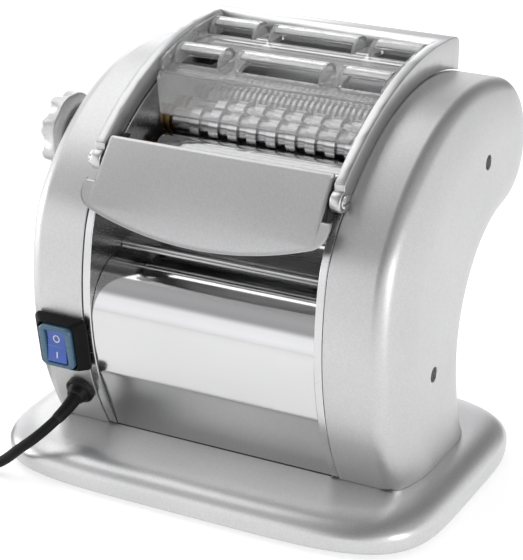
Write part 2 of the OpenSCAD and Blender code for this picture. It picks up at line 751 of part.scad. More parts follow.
module clear_sheet() {
    difference() {
        slab(-clear_half, clear_half)
            polygon(concat(clear_line(0), [for (i = [13:-1:0]) clear_line(clear_t)[i]]));
        for (y = hood_y, x = hood_x)
            translate([x[0] + 2, y - slot_front, 200]) cube([x[1] - x[0] - 4, slot_front + slot_rear, 60]);
        // the sloping front narrows towards its lower edge
        both_sides() translate([0, clear_knee[0] + 1, 0]) rotate([90, 0, 0]) linear_extrude(60)
            polygon([[clear_low_half, clear_low[1]], [plate_in - 1, clear_knee[1] - 3], [plate_in - 1, 260],
                     [clear_half + 5, 260], [clear_half + 5, 180], [clear_low_half, 180]]);
    }
    // side flanges against the inner faces of the arms
    both_sides() slab(clear_half - 2.2, clear_half) intersection() {
        difference() {
            translate(arm_c) circle(arm_r - 1.5, $fn = 200);
            translate(arm_c) circle(sheet_r - 1, $fn = 200);
        }
        translate([clear_knee[0] + 4, 180]) square([clear_rear - clear_knee[0] - 4, 100]);
    }
}
module hood_shape(y) {
    translate([y, sheet_z(y) - 2]) children();
}
module hood(y, x) {
    slab(x[0], x[1]) hood_shape(y) difference() {
        circle(hood_r, $fn = 96);
        circle(hood_r - clear_t + 0.3, $fn = 96);
        polygon([[0, 0], 30 * unit(hood_mouth), [-30, -30], [30, -30], 30 * unit(-5)]);
    }
    for (e = [x[0], x[1] - 2]) slab(e, e + 2) hood_shape(y) difference() {
        circle(hood_r, $fn = 96);
        translate([-30, -60]) square(60);
    }
}
module clear_guard() {
    color([0.85, 0.9, 0.92, 0.4]) difference() {
        union() {
            clear_sheet();
            for (y = hood_y, x = hood_x) hood(y, x);
        }
        both_sides() for (y = rivet_y) rod([y, sheet_z(y) + 4.5], 1.5 + seat, clear_half - 3, clear_half + 1);
    }
}
rivet_y = [4, 36];
module guard_rivets() {
    color([0.8, 0.8, 0.8]) both_sides() for (y = rivet_y)
        rod([y, sheet_z(y) + 4.5], 1.5, clear_half - 2.9, arm_in + 2);
}

magnet_at = [54, 245];
reed_at = [54, 228];
module guard_magnet() {
    color([0.3, 0.3, 0.3]) rod(magnet_at, 3, -arm_in - 3.5, -arm_in);
}
module reed_switch() {
    color([0.15, 0.15, 0.15]) translate([-plate_in, reed_at[0] - 9, reed_at[1] - 4]) cube([7, 18, 8]);
}

// ---- smooth rollers ----------------------------------------------------------------------

collar_r = 9;
module roller(p, left, right) {
    rod(p, roller_r, -roller_face, roller_face);
    both_sides() rod(p, collar_r, roller_face, plate_in - 1.3);
    rod(p, journal_r, -left, right);
}
module front_roller() {
    color([0.88, 0.89, 0.90]) roller(front_axis, plate_out + 2, drive_x + gear_w + 1);
}
module rear_roller() {
    color([0.88, 0.89, 0.90]) roller(rear_axis, plate_out + 1.4, mesh_x + mesh_w + 0.6);
}
module roller_bushes() {
    color([0.72, 0.6, 0.35]) both_sides() {
        tube(front_axis, bush_r, journal_r + run, plate_in - 1, plate_out);
    }
}

// Cam and follower: a spiral slot moves the rear bearing blocks as the knob turns
follower_r = 2;
follower_at = 9;
cam_x = plate_out + 7;
cam_t = 4;
module block(side) {
    difference() {
        slab(plate_in - 0.6, plate_out + 0.6) translate(rear_axis)
            square([block_y, block_z], center = true);
        rod(rear_axis, journal_r + run, plate_in - 2, plate_out + 2);
    }
}
module bearing_blocks() {
    color([0.72, 0.6, 0.35]) {
        both_sides() block();
        mirror([1, 0, 0])
            rod(knob_axis + [follower_at + gap_travel, 0], follower_r, plate_out + 0.6, cam_x + cam_t + 0.5);
    }
}
// Radius of the cam slot's middle line at knob angle t
function cam_radius(t) = follower_at + gap_travel * (1 - t / knob_turn);
cam_over = 16;
function cam_side(off) = [for (i = [0:24])
    let (t = lerp(-cam_over, knob_turn + cam_over, i / 24)) (cam_radius(t) + off) * unit(-t)];
module cam_slot() {
    w = follower_r + 0.15;
    outer = cam_side(w);
    inner = cam_side(-w);
    polygon(concat(outer, [for (i = [24:-1:0]) inner[i]]));
}
spindle_r = 5;
knob_x = cover_edge + cover_bulge + 1;
module knob_spindle() {
    color([0.7, 0.7, 0.72]) mirror([1, 0, 0]) {
        difference() {
            rod(knob_axis, 16, cam_x, cam_x + cam_t);
            slab(cam_x - 1, cam_x + cam_t + 1) translate(knob_axis) cam_slot();
        }
        rod(knob_axis, spindle_r, cam_x + cam_t, knob_x + knob_h - 4);
    }
}
module knob_bush() {
    color([0.2, 0.2, 0.2]) mirror([1, 0, 0])
        tube(knob_axis, knob_bush_r, spindle_r + run, cover_edge - 6, knob_x - 0.5);
}
module knob_outline(r) {
    lobe = r * 0.24;
    circle(r - lobe * 1.1, $fn = 96);
    for (i = [0:knob_lobes - 1]) rotate(360 * i / knob_lobes)
        translate([r - lobe, 0]) circle(lobe, $fn = 48);
}
module thickness_knob() {
    color([0.80, 0.81, 0.82]) mirror([1, 0, 0]) difference() {
        union() {
            slab(knob_x, knob_x + knob_h - 1.5) translate(knob_axis) knob_outline(knob_r);
            slab(knob_x + knob_h - 1.5, knob_x + knob_h) translate(knob_axis) knob_outline(knob_r - 1.5);
        }
        rod(knob_axis, spindle_r + seat, knob_x - 1, knob_x + knob_h - 4);
    }
}

// Scraper blades under the smooth rollers
module scraper(p, side) {
    tip = p + (roller_r + 0.35) * unit(270 + side * 40);
    root = tip + [side * 4, -4];
    rail = root + [side * 1.2, -1.2];
    slab(-roller_face, roller_face)
        polygon([tip, tip + [side * 1.2, 0.2], root + [side * 1.4, 0], root]);
    rod(rail, 2.6, -sheet_half, sheet_half);
}
module roller_scrapers() {
    color([0.75, 0.76, 0.77]) {
        scraper(front_axis, -1);
        scraper(rear_axis, 1);
    }
}

mesh_m = 2;
mesh_teeth = 15;
module mesh_gear(p, phase) {
    difference() {
        slab(mesh_x, mesh_x + mesh_w)
            translate(p) polygon(gear_outline(mesh_m, mesh_teeth, 2.1, 2.2, 0.8, phase));
        rod(p, journal_r + seat, mesh_x - 1, mesh_x + mesh_w + 1);
    }
}
module front_mesh_gear() { color([0.6, 0.6, 0.62]) mesh_gear(front_axis, 0); }
module rear_mesh_gear() {
    color([0.6, 0.6, 0.62]) mesh_gear(rear_axis, mesh_phase(0, mesh_teeth, mesh_teeth, 0));
}
module roller_drive_gear() {
    color([0.9, 0.9, 0.85])
        webbed_gear(front_axis, drive_m, roller_teeth, drive_phase, journal_r, 10, drive_x, gear_w);
}

// ---- cutter rollers ------------------------------------------------------------------------

// Profile of a grooved roller: rings of one noodle's width at every second noodle
function ring_profile(noodle, shift, half) =
    let (pitch = 2 * noodle, n = floor((half - noodle / 2) / pitch + 0.001),
         w = noodle / 2 - ring_gap / 2,
         mids = [for (i = [-n:n]) i * pitch + shift])
    concat([[0, -half], [cutter_core_r, -half]],
           [for (c = mids, p = [[cutter_core_r, c - w], [cutter_r, c - w], [cutter_r, c + w], [cutter_core_r, c + w]])
               if (c + w < half && c - w > -half) p],
           [[cutter_core_r, half], [0, half]]);
module cutter(p, noodle, shift, left, right) {
    translate([0, p[0], p[1]]) rotate([0, 90, 0])
        rotate_extrude($fn = 64) polygon(ring_profile(noodle, shift, roller_face));
    rod(p, cutter_shaft_r, -left, right);
}
left_end = left_gear_x + gear_w + 1;
right_end = plate_out + 1;
module wide_cutter_front() {
    color([0.82, 0.83, 0.84]) cutter(wide_a, wide_noodle, 0, left_end, drive_x + gear_w + 1);
}
module wide_cutter_rear() {
    color([0.82, 0.83, 0.84]) cutter(wide_b, wide_noodle, wide_noodle, left_end, right_end);
}
module fine_cutter_front() {
    color([0.82, 0.83, 0.84]) cutter(fine_a, fine_noodle, 0, left_end, right_end);
}
module fine_cutter_rear() {
    color([0.82, 0.83, 0.84]) cutter(fine_b, fine_noodle, fine_noodle, left_end, right_end);
}
module cutter_bushes() {
    color([0.72, 0.6, 0.35]) both_sides() for (p = [wide_a, wide_b, fine_a, fine_b]) {
        tube(p, cutter_bush_r, cutter_shaft_r + run, plate_in - 1.5, plate_out);
        tube(p, cutter_bush_r + 1.2, cutter_shaft_r + run, plate_in - 3, plate_in - 1.5);
    }
}

// Combs that lift the noodles out of the grooves: one finger in every groove
module comb(p, noodle, shift, lean) {
    pitch = 2 * noodle;
    n = floor(roller_face / pitch);
    mid = 270 + lean;
    spread = 20;
    w = noodle / 2 - ring_gap / 2 - 0.15;
    for (i = [-n:n]) {
        x = i * pitch + shift + noodle;
        if (abs(x) < roller_face - noodle)
            slab(x - w, x + w) translate(p)
                polygon(concat(arc([0, 0], cutter_core_r + 0.3, mid - spread, mid + spread, 4),
                               arc([0, 0], cutter_r + 3, mid + spread / 2, mid - spread / 2, 2)));
    }
    rail = p + (cutter_r + 4.2) * unit(mid);
    rod(rail, 2.6, -sheet_half, sheet_half);
}
module wide_combs() {
    color([0.7, 0.71, 0.72]) {
        comb(wide_a, wide_noodle, 0, 0);
        comb(wide_b, wide_noodle, wide_noodle, 30);
    }
}
module fine_combs() {
    color([0.7, 0.71, 0.72]) {
        comb(fine_a, fine_noodle, 0, -30);
        comb(fine_b, fine_noodle, fine_noodle, 30);
    }
}

module cutter_drive_gear() {
    color([0.9, 0.9, 0.85])
        gear(wide_a, drive_m, cutter_teeth, cutter_phase, cutter_shaft_r, drive_x, gear_w);
}
module pair_gear(p, teeth, phase, bore) {
    color([0.9, 0.9, 0.85])
        gear(p, cutter_m, teeth, phase, bore, -left_gear_x - gear_w, gear_w);
}
module wide_gear_front() { pair_gear(wide_a, pair_teeth, 0, cutter_shaft_r); }
module wide_gear_rear() { pair_gear(wide_b, pair_teeth, wide_b_phase, cutter_shaft_r); }
module fine_gear_front() { pair_gear(fine_a, pair_teeth, fine_a_phase, cutter_shaft_r); }
module fine_gear_rear() { pair_gear(fine_b, pair_teeth, fine_b_phase, cutter_shaft_r); }
module cutter_idler_front() { pair_gear(idler_a, idler_teeth, idler_a_phase, idler_bore_r + run); }
module cutter_idler_rear() { pair_gear(idler_b, idler_teeth, idler_b_phase, idler_bore_r + run); }

module lower_idler_gear() {
    color([0.9, 0.9, 0.85])
        webbed_gear(lower_axis, drive_m, lower_teeth, lower_phase, idler_bore_r + run, 7, drive_x, gear_w);
}
module upper_idler_gear() {
    color([0.9, 0.9, 0.85])
        webbed_gear(upper_axis, drive_m, upper_teeth, upper_phase, idler_bore_r + run, 7, drive_x, gear_w);
}
module idler_pin(p, x1, spacer) {
    rod(p, idler_bore_r, plate_in, x1 + 1.6);
    tube(p, 3.9, idler_bore_r, plate_out, spacer - 0.2);
    rod(p, 5, x1 + 0.3, x1 + 1.6);
}
module idler_pins() {
    color([0.6, 0.6, 0.62]) {
        for (p = [lower_axis, upper_axis]) idler_pin(p, drive_x + gear_w, drive_x);
        mirror([1, 0, 0]) for (p = [idler_a, idler_b])
            idler_pin(p, left_gear_x + gear_w, left_gear_x);
    }
}

// ---- motor ------------------------------------------------------------------------------------

motor_r = 28;
motor_x = [-58, 22];
gearhead_r = 25;
gearhead_x = 56;
motor_shaft_r = 4;
module motor() {
    color([0.25, 0.25, 0.27]) difference() {
        union() {
            rod(motor_axis, motor_r, motor_x[0] + 6, motor_x[1] - 6);
            rod(motor_axis, motor_r - 2, motor_x[0], motor_x[1]);
            rod(motor_axis, gearhead_r, motor_x[1], gearhead_x);
            rod(motor_axis, 8, motor_x[0] - 5, motor_x[0]);
        }
        rod(motor_axis, motor_shaft_r + run, gearhead_x - 22, gearhead_x + 1);
        for (a = [45:90:315])
            rod(motor_axis + 19 * unit(a), 1.8, gearhead_x - 8, gearhead_x + 1);
    }
}
module motor_shaft() {
    color([0.7, 0.7, 0.72]) {
        rod(motor_axis, motor_shaft_r, gearhead_x - 20, drive_x + gear_w + 1);
        gear(motor_axis, drive_m, pinion_teeth, pinion_phase, motor_shaft_r - 1, drive_x, gear_w);
    }
}
module motor_pillars() {
    color([0.6, 0.6, 0.62]) for (a = [45:90:315]) {
        p = motor_axis + 19 * unit(a);
        rod(p, 3.4, gearhead_x, plate_in);
        rod(p, 1.7, gearhead_x - 6, gearhead_x);
    }
}

// ---- switch ------------------------------------------------------------------------------------

boot_h = 8;
frame_out = 10.5;
rocker_w = 13.2;
rocker_r = 10.6;
rocker_pin_z = frame_out - 4.5;
module switch_boot() {
    color([0.08, 0.08, 0.08]) on_left_front(switch_x, switch_z) difference() {
        hull() {
            translate([0, 0, 0.4]) linear_extrude(2.5) rounded_rect(boot_w, boot_w, 3, $fn = 32);
            translate([0, 0, boot_h - 1]) linear_extrude(1) rounded_rect(frame_w + 3, frame_h + 3, 4, $fn = 32);
        }
        translate([0, 0, -1]) linear_extrude(boot_h + 3)
            square([frame_w + 2 * seat, frame_h + 2 * seat], center = true);
    }
}
module switch_frame() {
    color([0.16, 0.37, 0.5]) on_left_front(switch_x, switch_z) difference() {
        union() {
            translate([0, 0, 0.4]) linear_extrude(boot_h - 0.4) square([frame_w - 0.1, frame_h - 0.1], center = true);
            translate([0, 0, boot_h]) linear_extrude(frame_out - boot_h) rounded_rect(frame_w, frame_h, 4);
            translate([0, 0, -16]) linear_extrude(16.4) square([frame_w - 1.4, frame_h - 1.4], center = true);
        }
        translate([0, 0, -1]) linear_extrude(frame_out + 2)
            square([rocker_w + 2 * slip, 2 * rocker_r + 2 * slip], center = true);
        translate([-rocker_w / 2 - 2, 0, rocker_pin_z]) rotate([0, 90, 0])
            cylinder(h = rocker_w + 4, r = 1.2 + run, $fn = 32);
    }
}
module switch_rocker() {
    color([0.12, 0.3, 0.75]) on_left_front(switch_x, switch_z) translate([0, 0, rocker_pin_z]) {
        translate([-rocker_w / 2, 0, 0]) rotate([90, 0, 90]) linear_extrude(rocker_w) intersection() {
            circle(rocker_r, $fn = 96);
            polygon([[-11, -4], [11, -4], [11, 2.6], [0, 2.2], [-11, 5.2]]);
        }
        translate([-rocker_w / 2 - 1.5, 0, 0]) rotate([0, 90, 0])
            cylinder(h = rocker_w + 3, r = 1.2, $fn = 32);
    }
}

// ---- cord ----------------------------------------------------------------------------------------

gland_out = 9;
module cord_gland() {
    color([0.07, 0.07, 0.07]) on_left_front(gland_x, gland_z) difference() {
        union() {
            translate([0, 0, -8]) cylinder(h = 9, r = gland_r, $fn = 48);
            translate([0, 0, 0.6]) cylinder(h = 3.4, r = 9.2, $fn = 64);
            translate([0, 0, 4]) cylinder(h = gland_out - 4, r1 = 6.4, r2 = 5, $fn = 48);
            translate([0, 0, -9]) cylinder(h = 5, r = 8, $fn = 6);
        }
        translate([0, 0, -12]) cylinder(h = 30, r = cord_d / 2 + 0.1, $fn = 32);
    }
}

// Route of the cord from the gland over the front corner of the base to the table
cord_r = cord_d / 2;
gland_dir = [0, -cos(front_tilt(gland_z)), -sin(front_tilt(gland_z))];
gland_mouth = [gland_x, front_y(gland_z), gland_z] + gland_dir * (gland_out - 6);
coil_c = [gland_x - 132, -80];
coil_r = 38;
coil_turns_w = 20;
coil_h = 13.4;
coil_out = coil_r + coil_turns_w / 2;
coil_lane = coil_r + 6.8;
coil_reach = sqrt(pow(coil_out, 2) - pow(coil_lane - cord_r, 2)) + 0.1;
floor_z = cord_r + 0.15;
cord_route = concat(
    [gland_mouth, gland_mouth + gland_dir * 5, gland_mouth + gland_dir * 11],
    [for (p = [[-1.3, -101.5, 41.3], [-5.6, -110.2, 35.4], [-12.8, -116.8, 28], [-21.6, -119.9, 20.5],
               [-29, -120.1, 13.7], [-35.1, -120.3, 9], [-42.4, -120.9, 5.6], [-50.9, -122.4, 3.8]])
        p + [gland_x, 0, 0]],
    [for (x = [-61, -73, -90]) [gland_x + x, coil_c[1] - coil_lane + (x == -61 ? 0.8 : 0), floor_z]],
    [[coil_c[0] + coil_reach, coil_c[1] - coil_lane, floor_z]]
);
function spline(p, i, t) =
    let (a = p[max(0, i - 1)], b = p[i], c = p[i + 1], d = p[min(len(p) - 1, i + 2)])
    0.5 * ((2 * b) + (c - a) * t + (2 * a - 5 * b + 4 * c - d) * t * t + (3 * b - a - 3 * c + d) * t * t * t);
function smooth_route(p, n) = concat(
    [for (i = [0:len(p) - 2], k = [0:n - 1]) spline(p, i, k / n)], [p[len(p) - 1]]);
cord_sides = 10;
module swept_tube(path, r) {
    n = len(path);
    rings = [for (i = [0:n - 1])
        let (t = path[min(n - 1, i + 1)] - path[max(0, i - 1)], w = t / norm(t),
             side = cross(w, [0, 0, 1]) / norm(cross(w, [0, 0, 1])), up = cross(side, w))
        for (k = [0:cord_sides - 1])
            path[i] + r * (side * cos(360 * k / cord_sides) + up * sin(360 * k / cord_sides))];
    polyhedron(rings, loft_faces(n, cord_sides));
}
module cord() {
    color([0.05, 0.05, 0.05]) swept_tube(smooth_route(cord_route, 3), cord_r);
}
module cord_coil() {
    color([0.05, 0.05, 0.05]) translate([coil_c[0], coil_c[1], 0.1])
        rotate_extrude($fn = 96) translate([coil_r - coil_turns_w / 2, 0]) square([coil_turns_w, coil_h]);
}
// The plug lies behind the coil, with its lead coming off the top turn
plug_at = [coil_c[0] - coil_lane, coil_c[1] + 40];
plug_r = 16.9;
module plug() {
    color([0.06, 0.06, 0.06]) translate([plug_at[0], plug_at[1], plug_r + 0.1]) rotate([-90, 0, 0]) {
        cylinder(h = 20, r = plug_r, $fn = 64);
        translate([0, 0, -9]) cylinder(h = 9, r1 = 5, r2 = 12, $fn = 48);
        translate([0, 0, -38]) cylinder(h = 29, r = cord_r, $fn = 32);
        for (x = [-9.5, 9.5])
            translate([x, 0, 20]) cylinder(h = 19, r = 2.4, $fn = 32);
    }
}

base_shell();
base_plate();
rubber_feet();
foot_screws();
left_side_plate();
right_side_plate();
tie_bars();
tie_bar_screws();
left_cover();
right_cover();
cover_screws();
front_panel();
rear_panel();
pasta_slide();
visor();
hinge_brackets();
guard_frame();
clear_guard();
guard_rivets();
guard_pivots();
guard_magnet();
reed_switch();
front_roller();
rear_roller();
roller_bushes();
bearing_blocks();
roller_scrapers();
front_mesh_gear();
rear_mesh_gear();
roller_drive_gear();
wide_cutter_front();
wide_cutter_rear();
fine_cutter_front();
fine_cutter_rear();
cutter_bushes();
wide_combs();
fine_combs();
cutter_drive_gear();
wide_gear_front();
wide_gear_rear();
fine_gear_front();
fine_gear_rear();
lower_idler_gear();
upper_idler_gear();
cutter_idler_front();
cutter_idler_rear();
idler_pins();
motor();
motor_shaft();
motor_pillars();
thickness_knob();
knob_spindle();
knob_bush();
switch_boot();
switch_frame();
switch_rocker();
cord_gland();
cord();
cord_coil();
plug();
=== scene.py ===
"""Visual model of an electric pasta maker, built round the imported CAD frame. Shapes are in
millimetres until new_mesh turns them into metres; camera, lamps and materials are in metres."""
import bpy
import bmesh
import json
import math
from mathutils import Matrix, Vector


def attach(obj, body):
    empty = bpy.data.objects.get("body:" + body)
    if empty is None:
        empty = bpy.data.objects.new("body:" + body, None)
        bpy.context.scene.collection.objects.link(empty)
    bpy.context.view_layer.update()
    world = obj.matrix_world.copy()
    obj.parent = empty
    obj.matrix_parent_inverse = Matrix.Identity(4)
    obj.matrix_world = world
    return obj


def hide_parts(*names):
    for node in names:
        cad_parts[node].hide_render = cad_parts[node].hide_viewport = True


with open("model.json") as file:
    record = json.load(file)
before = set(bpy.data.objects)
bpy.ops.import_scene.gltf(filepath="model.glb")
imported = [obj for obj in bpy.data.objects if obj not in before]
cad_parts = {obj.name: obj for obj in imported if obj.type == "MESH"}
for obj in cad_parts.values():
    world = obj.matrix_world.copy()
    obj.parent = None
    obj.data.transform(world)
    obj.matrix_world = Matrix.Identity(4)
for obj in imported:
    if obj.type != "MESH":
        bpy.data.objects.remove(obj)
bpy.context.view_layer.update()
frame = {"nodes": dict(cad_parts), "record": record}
NODES = frame["nodes"]
MM = 0.001
scene = bpy.context.scene


# ---- plane geometry, the same side profile as the CAD source, [y, z] ------------------------

def unit(a):
    return (math.cos(math.radians(a)), math.sin(math.radians(a)))


def angle_of(v):
    return math.degrees(math.atan2(v[1], v[0]))


def add(a, b, k=1.0):
    """a plus k times b."""
    return (a[0] + k * b[0], a[1] + k * b[1])


def lerp(a, b, t):
    return a + (b - a) * t


def clamp01(t):
    return max(0.0, min(1.0, t))


def smooth(t):
    t = clamp01(t)
    return t * t * (3 - 2 * t)


def bent(t):
    """Change over t from 0 to 1 in two even bends."""
    t = clamp01(t)
    return 2 * t * t if t < 0.5 else 1 - 2 * (1 - t) ** 2


def arc(c, r, a0, a1, n):
    return [add(c, unit(a0 + (a1 - a0) * i / n), r) for i in range(n + 1)]


def cross_point(a, ra, b, rb):
    """The point at distance ra from a and rb from b."""
    dx, dz = b[0] - a[0], b[1] - a[1]
    d = math.hypot(dx, dz)
    e = (dx / d, dz / d)
    s = (ra * ra - rb * rb + d * d) / (2 * d)
    h = math.sqrt(ra * ra - s * s)
    return (a[0] + s * e[0] - h * e[1], a[1] + s * e[1] + h * e[0])


def below(p, r, y):
    """The lower point at y of the circle of radius r about p."""
    return (y, p[1] - math.sqrt(r * r - (y - p[0]) ** 2))


def above(p, r, y):
    """The upper point at y of the circle of radius r about p."""
    return (y, p[1] + math.sqrt(r * r - (y - p[0]) ** 2))


FRONT_C, FRONT_R = (82.3, 114.1), 175.5
TOP_C, TOP_R = (42.3, 85.6), 150.9
BROW_R, LOBE_R, LOBE_Y = 60.0, 46.9, 71.6
WAIST_Y, WAIST_R, HEEL_R = 25.2, 57.5, 110.4
BASE_H = 22.5
SKIRT, SKIRT_STEP, SKIRT_N = 26.0, 2, 13  # the covers are drawn past the base and sliced there
PLATE_IN, PLATE_OUT = 73.5, 78.5
COVER_IN, COVER_EDGE, BULGE, DOME = 79.0, 114.0, 8.4, 36.0
EDGE_R, REAR_EDGE_R, COVER_WALL = 7.0, 25.0, 2.5

BROW_C = cross_point(TOP_C, TOP_R - BROW_R, FRONT_C, FRONT_R - BROW_R)
BROW_A0 = angle_of(add(BROW_C, FRONT_C, -1))
BROW_A1 = angle_of(add(BROW_C, TOP_C, -1))
LOBE_A = math.degrees(math.acos((LOBE_Y - TOP_C[0]) / (TOP_R - LOBE_R)))
LOBE_C = add(TOP_C, unit(LOBE_A), TOP_R - LOBE_R)
WAIST_C = below(LOBE_C, LOBE_R + WAIST_R, WAIST_Y + WAIST_R)
WAIST_A = angle_of(add(LOBE_C, WAIST_C, -1))
HEEL_C = (WAIST_Y + HEEL_R, WAIST_C[1])
FRONT_A = 180 + math.degrees(math.asin((FRONT_C[1] - BASE_H) / FRONT_R))
HEEL_A = 180 + math.degrees(math.asin((HEEL_C[1] - BASE_H) / HEEL_R))
FOOT_FRONT = add(FRONT_C, unit(FRONT_A), FRONT_R)
FOOT_REAR = add(HEEL_C, unit(HEEL_A), HEEL_R)


def front_y(z):
    """Where the front edge of the covers lies at height z."""
    return FRONT_C[0] - math.sqrt(FRONT_R ** 2 - (FRONT_C[1] - z) ** 2)


def front_tilt(z):
    return math.asin((FRONT_C[1] - z) / FRONT_R)


def profile():
    """Points of the side outline with the softness of the edge there, and where the lobe starts."""
    path = []

    def put(pts, s0, s1):
        n = max(1, len(pts) - 1)
        for i, p in enumerate(pts):
            path.append((p[0], p[1], lerp(s0, s1, i / n)))

    put([(FOOT_FRONT[0], FOOT_FRONT[1] - SKIRT + SKIRT_STEP * i) for i in range(SKIRT_N)], 0, 0)
    put(arc(FRONT_C, FRONT_R, FRONT_A, BROW_A0, 80), 0, 0)
    put(arc(BROW_C, BROW_R, BROW_A0, BROW_A1, 24)[1:], 0, 0)
    put(arc(TOP_C, TOP_R, BROW_A1, LOBE_A, 70)[1:], 0, 0)
    lobe = len(path)
    put(arc(LOBE_C, LOBE_R, LOBE_A, WAIST_A - 180, 60)[1:], 0, 1)
    put(arc(WAIST_C, WAIST_R, WAIST_A, 180, 30)[1:], 1, 1)
    put(arc(HEEL_C, HEEL_R, 180, HEEL_A, 24)[1:], 1, 1)
    put([(FOOT_REAR[0], FOOT_REAR[1] - SKIRT_STEP * i) for i in range(1, SKIRT_N + 1)], 1, 1)
    return path, lobe


PATH, LOBE_START = profile()
NP = len(PATH)


def inward(i):
    """Direction from the outline's point i to its inside."""
    a, b = PATH[max(0, i - 1)], PATH[min(NP - 1, i + 1)]
    dy, dz = b[0] - a[0], b[1] - a[1]
    d = math.hypot(dy, dz)
    return (dz / d, -dy / d)


def inset(i, d):
    """The outline's point i, moved inwards by d."""
    n = inward(i)
    return (PATH[i][0] + d * n[0], PATH[i][1] + d * n[1])


# ---- mesh helpers ----------------------------------------------------------------------------

def new_mesh(name, verts, faces):
    """A smooth mesh object from points in millimetres."""
    me = bpy.data.meshes.new(name)
    me.from_pydata([(v[0] * MM, v[1] * MM, v[2] * MM) for v in verts], [], faces)
    bm = bmesh.new()
    bm.from_mesh(me)
    bmesh.ops.recalc_face_normals(bm, faces=bm.faces)
    bm.to_mesh(me)
    bm.free()
    for p in me.polygons:
        p.use_smooth = True
    o = bpy.data.objects.new(name, me)
    scene.collection.objects.link(o)
    return o


def stack(rings, closed=True, caps=True):
    """Verts and faces of a stack of rings with the same number of points."""
    n = len(rings[0])
    verts = [p for r in rings for p in r]
    faces = []
    for k in range(len(rings) - 1):
        for i in range(n if closed else n - 1):
            j = (i + 1) % n
            faces.append((k * n + i, k * n + j, (k + 1) * n + j, (k + 1) * n + i))
    if caps:
        faces.append(tuple(range(n - 1, -1, -1)))
        faces.append(tuple(range((len(rings) - 1) * n, len(rings) * n)))
    return verts, faces


def extrude_x(name, poly, x0, x1):
    """An outline of (y, z) drawn out from x0 to x1."""
    return new_mesh(name, *stack([[(x, p[0], p[1]) for p in poly] for x in (x0, x1)]))


def turned_rings(line, segments, place):
    """Rings of a body of revolution: line of (radius, height), placed by a function of (x, y, z)."""
    turns = [2 * math.pi * k / segments for k in range(segments)]
    return [[place(r * math.cos(a), r * math.sin(a), t) for a in turns] for r, t in line]


def turned(name, line, segments, place):
    return new_mesh(name, *stack(turned_rings(line, segments, place)))


def along_x(p):
    """Places a turned body with its axis along x, through p = (y, z)."""
    return lambda a, b, t: (t, p[0] + a, p[1] + b)


def along_y(x, z):
    return lambda a, b, t: (x - a, t, z + b)


def cylinder_x(p, r, x0, x1):
    return stack(turned_rings([(r, x0), (r, x1)], 64, along_x(p)))


def joined(parts):
    """Verts and faces of several bodies as one."""
    verts, faces = [], []
    for v, f in parts:
        k = len(verts)
        verts += v
        faces += [tuple(i + k for i in g) for g in f]
    return verts, faces


def apply_all(o):
    """Turns the modifiers of o into its mesh."""
    bpy.context.view_layer.update()
    dg = bpy.context.evaluated_depsgraph_get()
    me = bpy.data.meshes.new_from_object(o.evaluated_get(dg))
    o.modifiers.clear()
    o.data = me
    return o


def cut(o, parts):
    """Takes closed bodies away from o."""
    tool = new_mesh(o.name + "_tool", *joined(parts))
    m = o.modifiers.new("cut", "BOOLEAN")
    m.operation, m.solver, m.object = "DIFFERENCE", "EXACT", tool
    apply_all(o)
    bpy.data.objects.remove(tool)
    return o


def slice_off(o, height):
    """Cuts a closed body off level at a height and closes it again."""
    bm = bmesh.new()
    bm.from_mesh(o.data)
    geom = bm.verts[:] + bm.edges[:] + bm.faces[:]
    found = bmesh.ops.bisect_plane(bm, geom=geom, dist=1e-7, plane_co=(0, 0, height * MM),
                                   plane_no=(0, 0, 1), clear_inner=True)
    rim = [e for e in found["geom_cut"] if isinstance(e, bmesh.types.BMEdge)]
    bmesh.ops.triangle_fill(bm, use_beauty=True, edges=rim, normal=(0, 0, -1))
    bmesh.ops.recalc_face_normals(bm, faces=bm.faces)
    bm.to_mesh(o.data)
    bm.free()
    return o


def soften(o, width=0.3, angle=38, segments=2):
    """Small rounded edges with clean shading."""
    for p in o.data.polygons:
        p.use_smooth = True
    b = o.modifiers.new("edges", "BEVEL")
    b.width, b.segments, b.limit_method = width * MM, segments, "ANGLE"
    b.angle_limit = math.radians(angle)
    b.harden_normals = True
    b.use_clamp_overlap = False
    return o


def weld(o, gap):
    """Joins the points of o that lie within gap of each other."""
    m = o.modifiers.new("weld", "WELD")
    m.merge_threshold = gap * MM


def mirror_x(o):
    """Turns a right-hand piece into a left-hand one."""
    o.data.transform(Matrix.Scale(-1, 4, (1, 0, 0)))
    o.data.flip_normals()


def on_front(x, z):
    """Places points on the covers' front edge at (x, z): across, up along the edge, outwards."""
    t = front_tilt(z)
    out = Vector((0, -math.cos(t), -math.sin(t)))
    up = Vector((0, -math.sin(t), math.cos(t)))
    o = Vector((x, front_y(z), z))
    return lambda a, b, c: tuple(o + Vector((1, 0, 0)) * a + up * b + out * c)


# ---- camera ----------------------------------------------------------------------------------

# Solved from the photograph: the eye and the directions right, up and back of the picture
EYE = Vector((0.5176, -1.0005, 0.5799))
RIGHT, UP = Vector((0.8853, 0.4650, 0.0)), Vector((-0.17952, 0.34179, 0.92247))
BACK = Vector((0.42895, -0.81666, 0.38607))
cam_data = bpy.data.cameras.new("camera")
cam_data.lens, cam_data.sensor_width, cam_data.sensor_fit = 128.15, 36.0, "AUTO"
cam_data.clip_start, cam_data.clip_end = 0.05, 20.0
camera = bpy.data.objects.new("camera", cam_data)
camera.matrix_world = Matrix((
    (RIGHT.x, UP.x, BACK.x, EYE.x), (RIGHT.y, UP.y, BACK.y, EYE.y),
    (RIGHT.z, UP.z, BACK.z, EYE.z), (0, 0, 0, 1)))
scene.collection.objects.link(camera)
scene.camera = camera


# ---- materials -------------------------------------------------------------------------------

COLOUR_A, COLOUR_B, COLOUR_OUT = 6, 7, 2  # colour sockets of a mix node


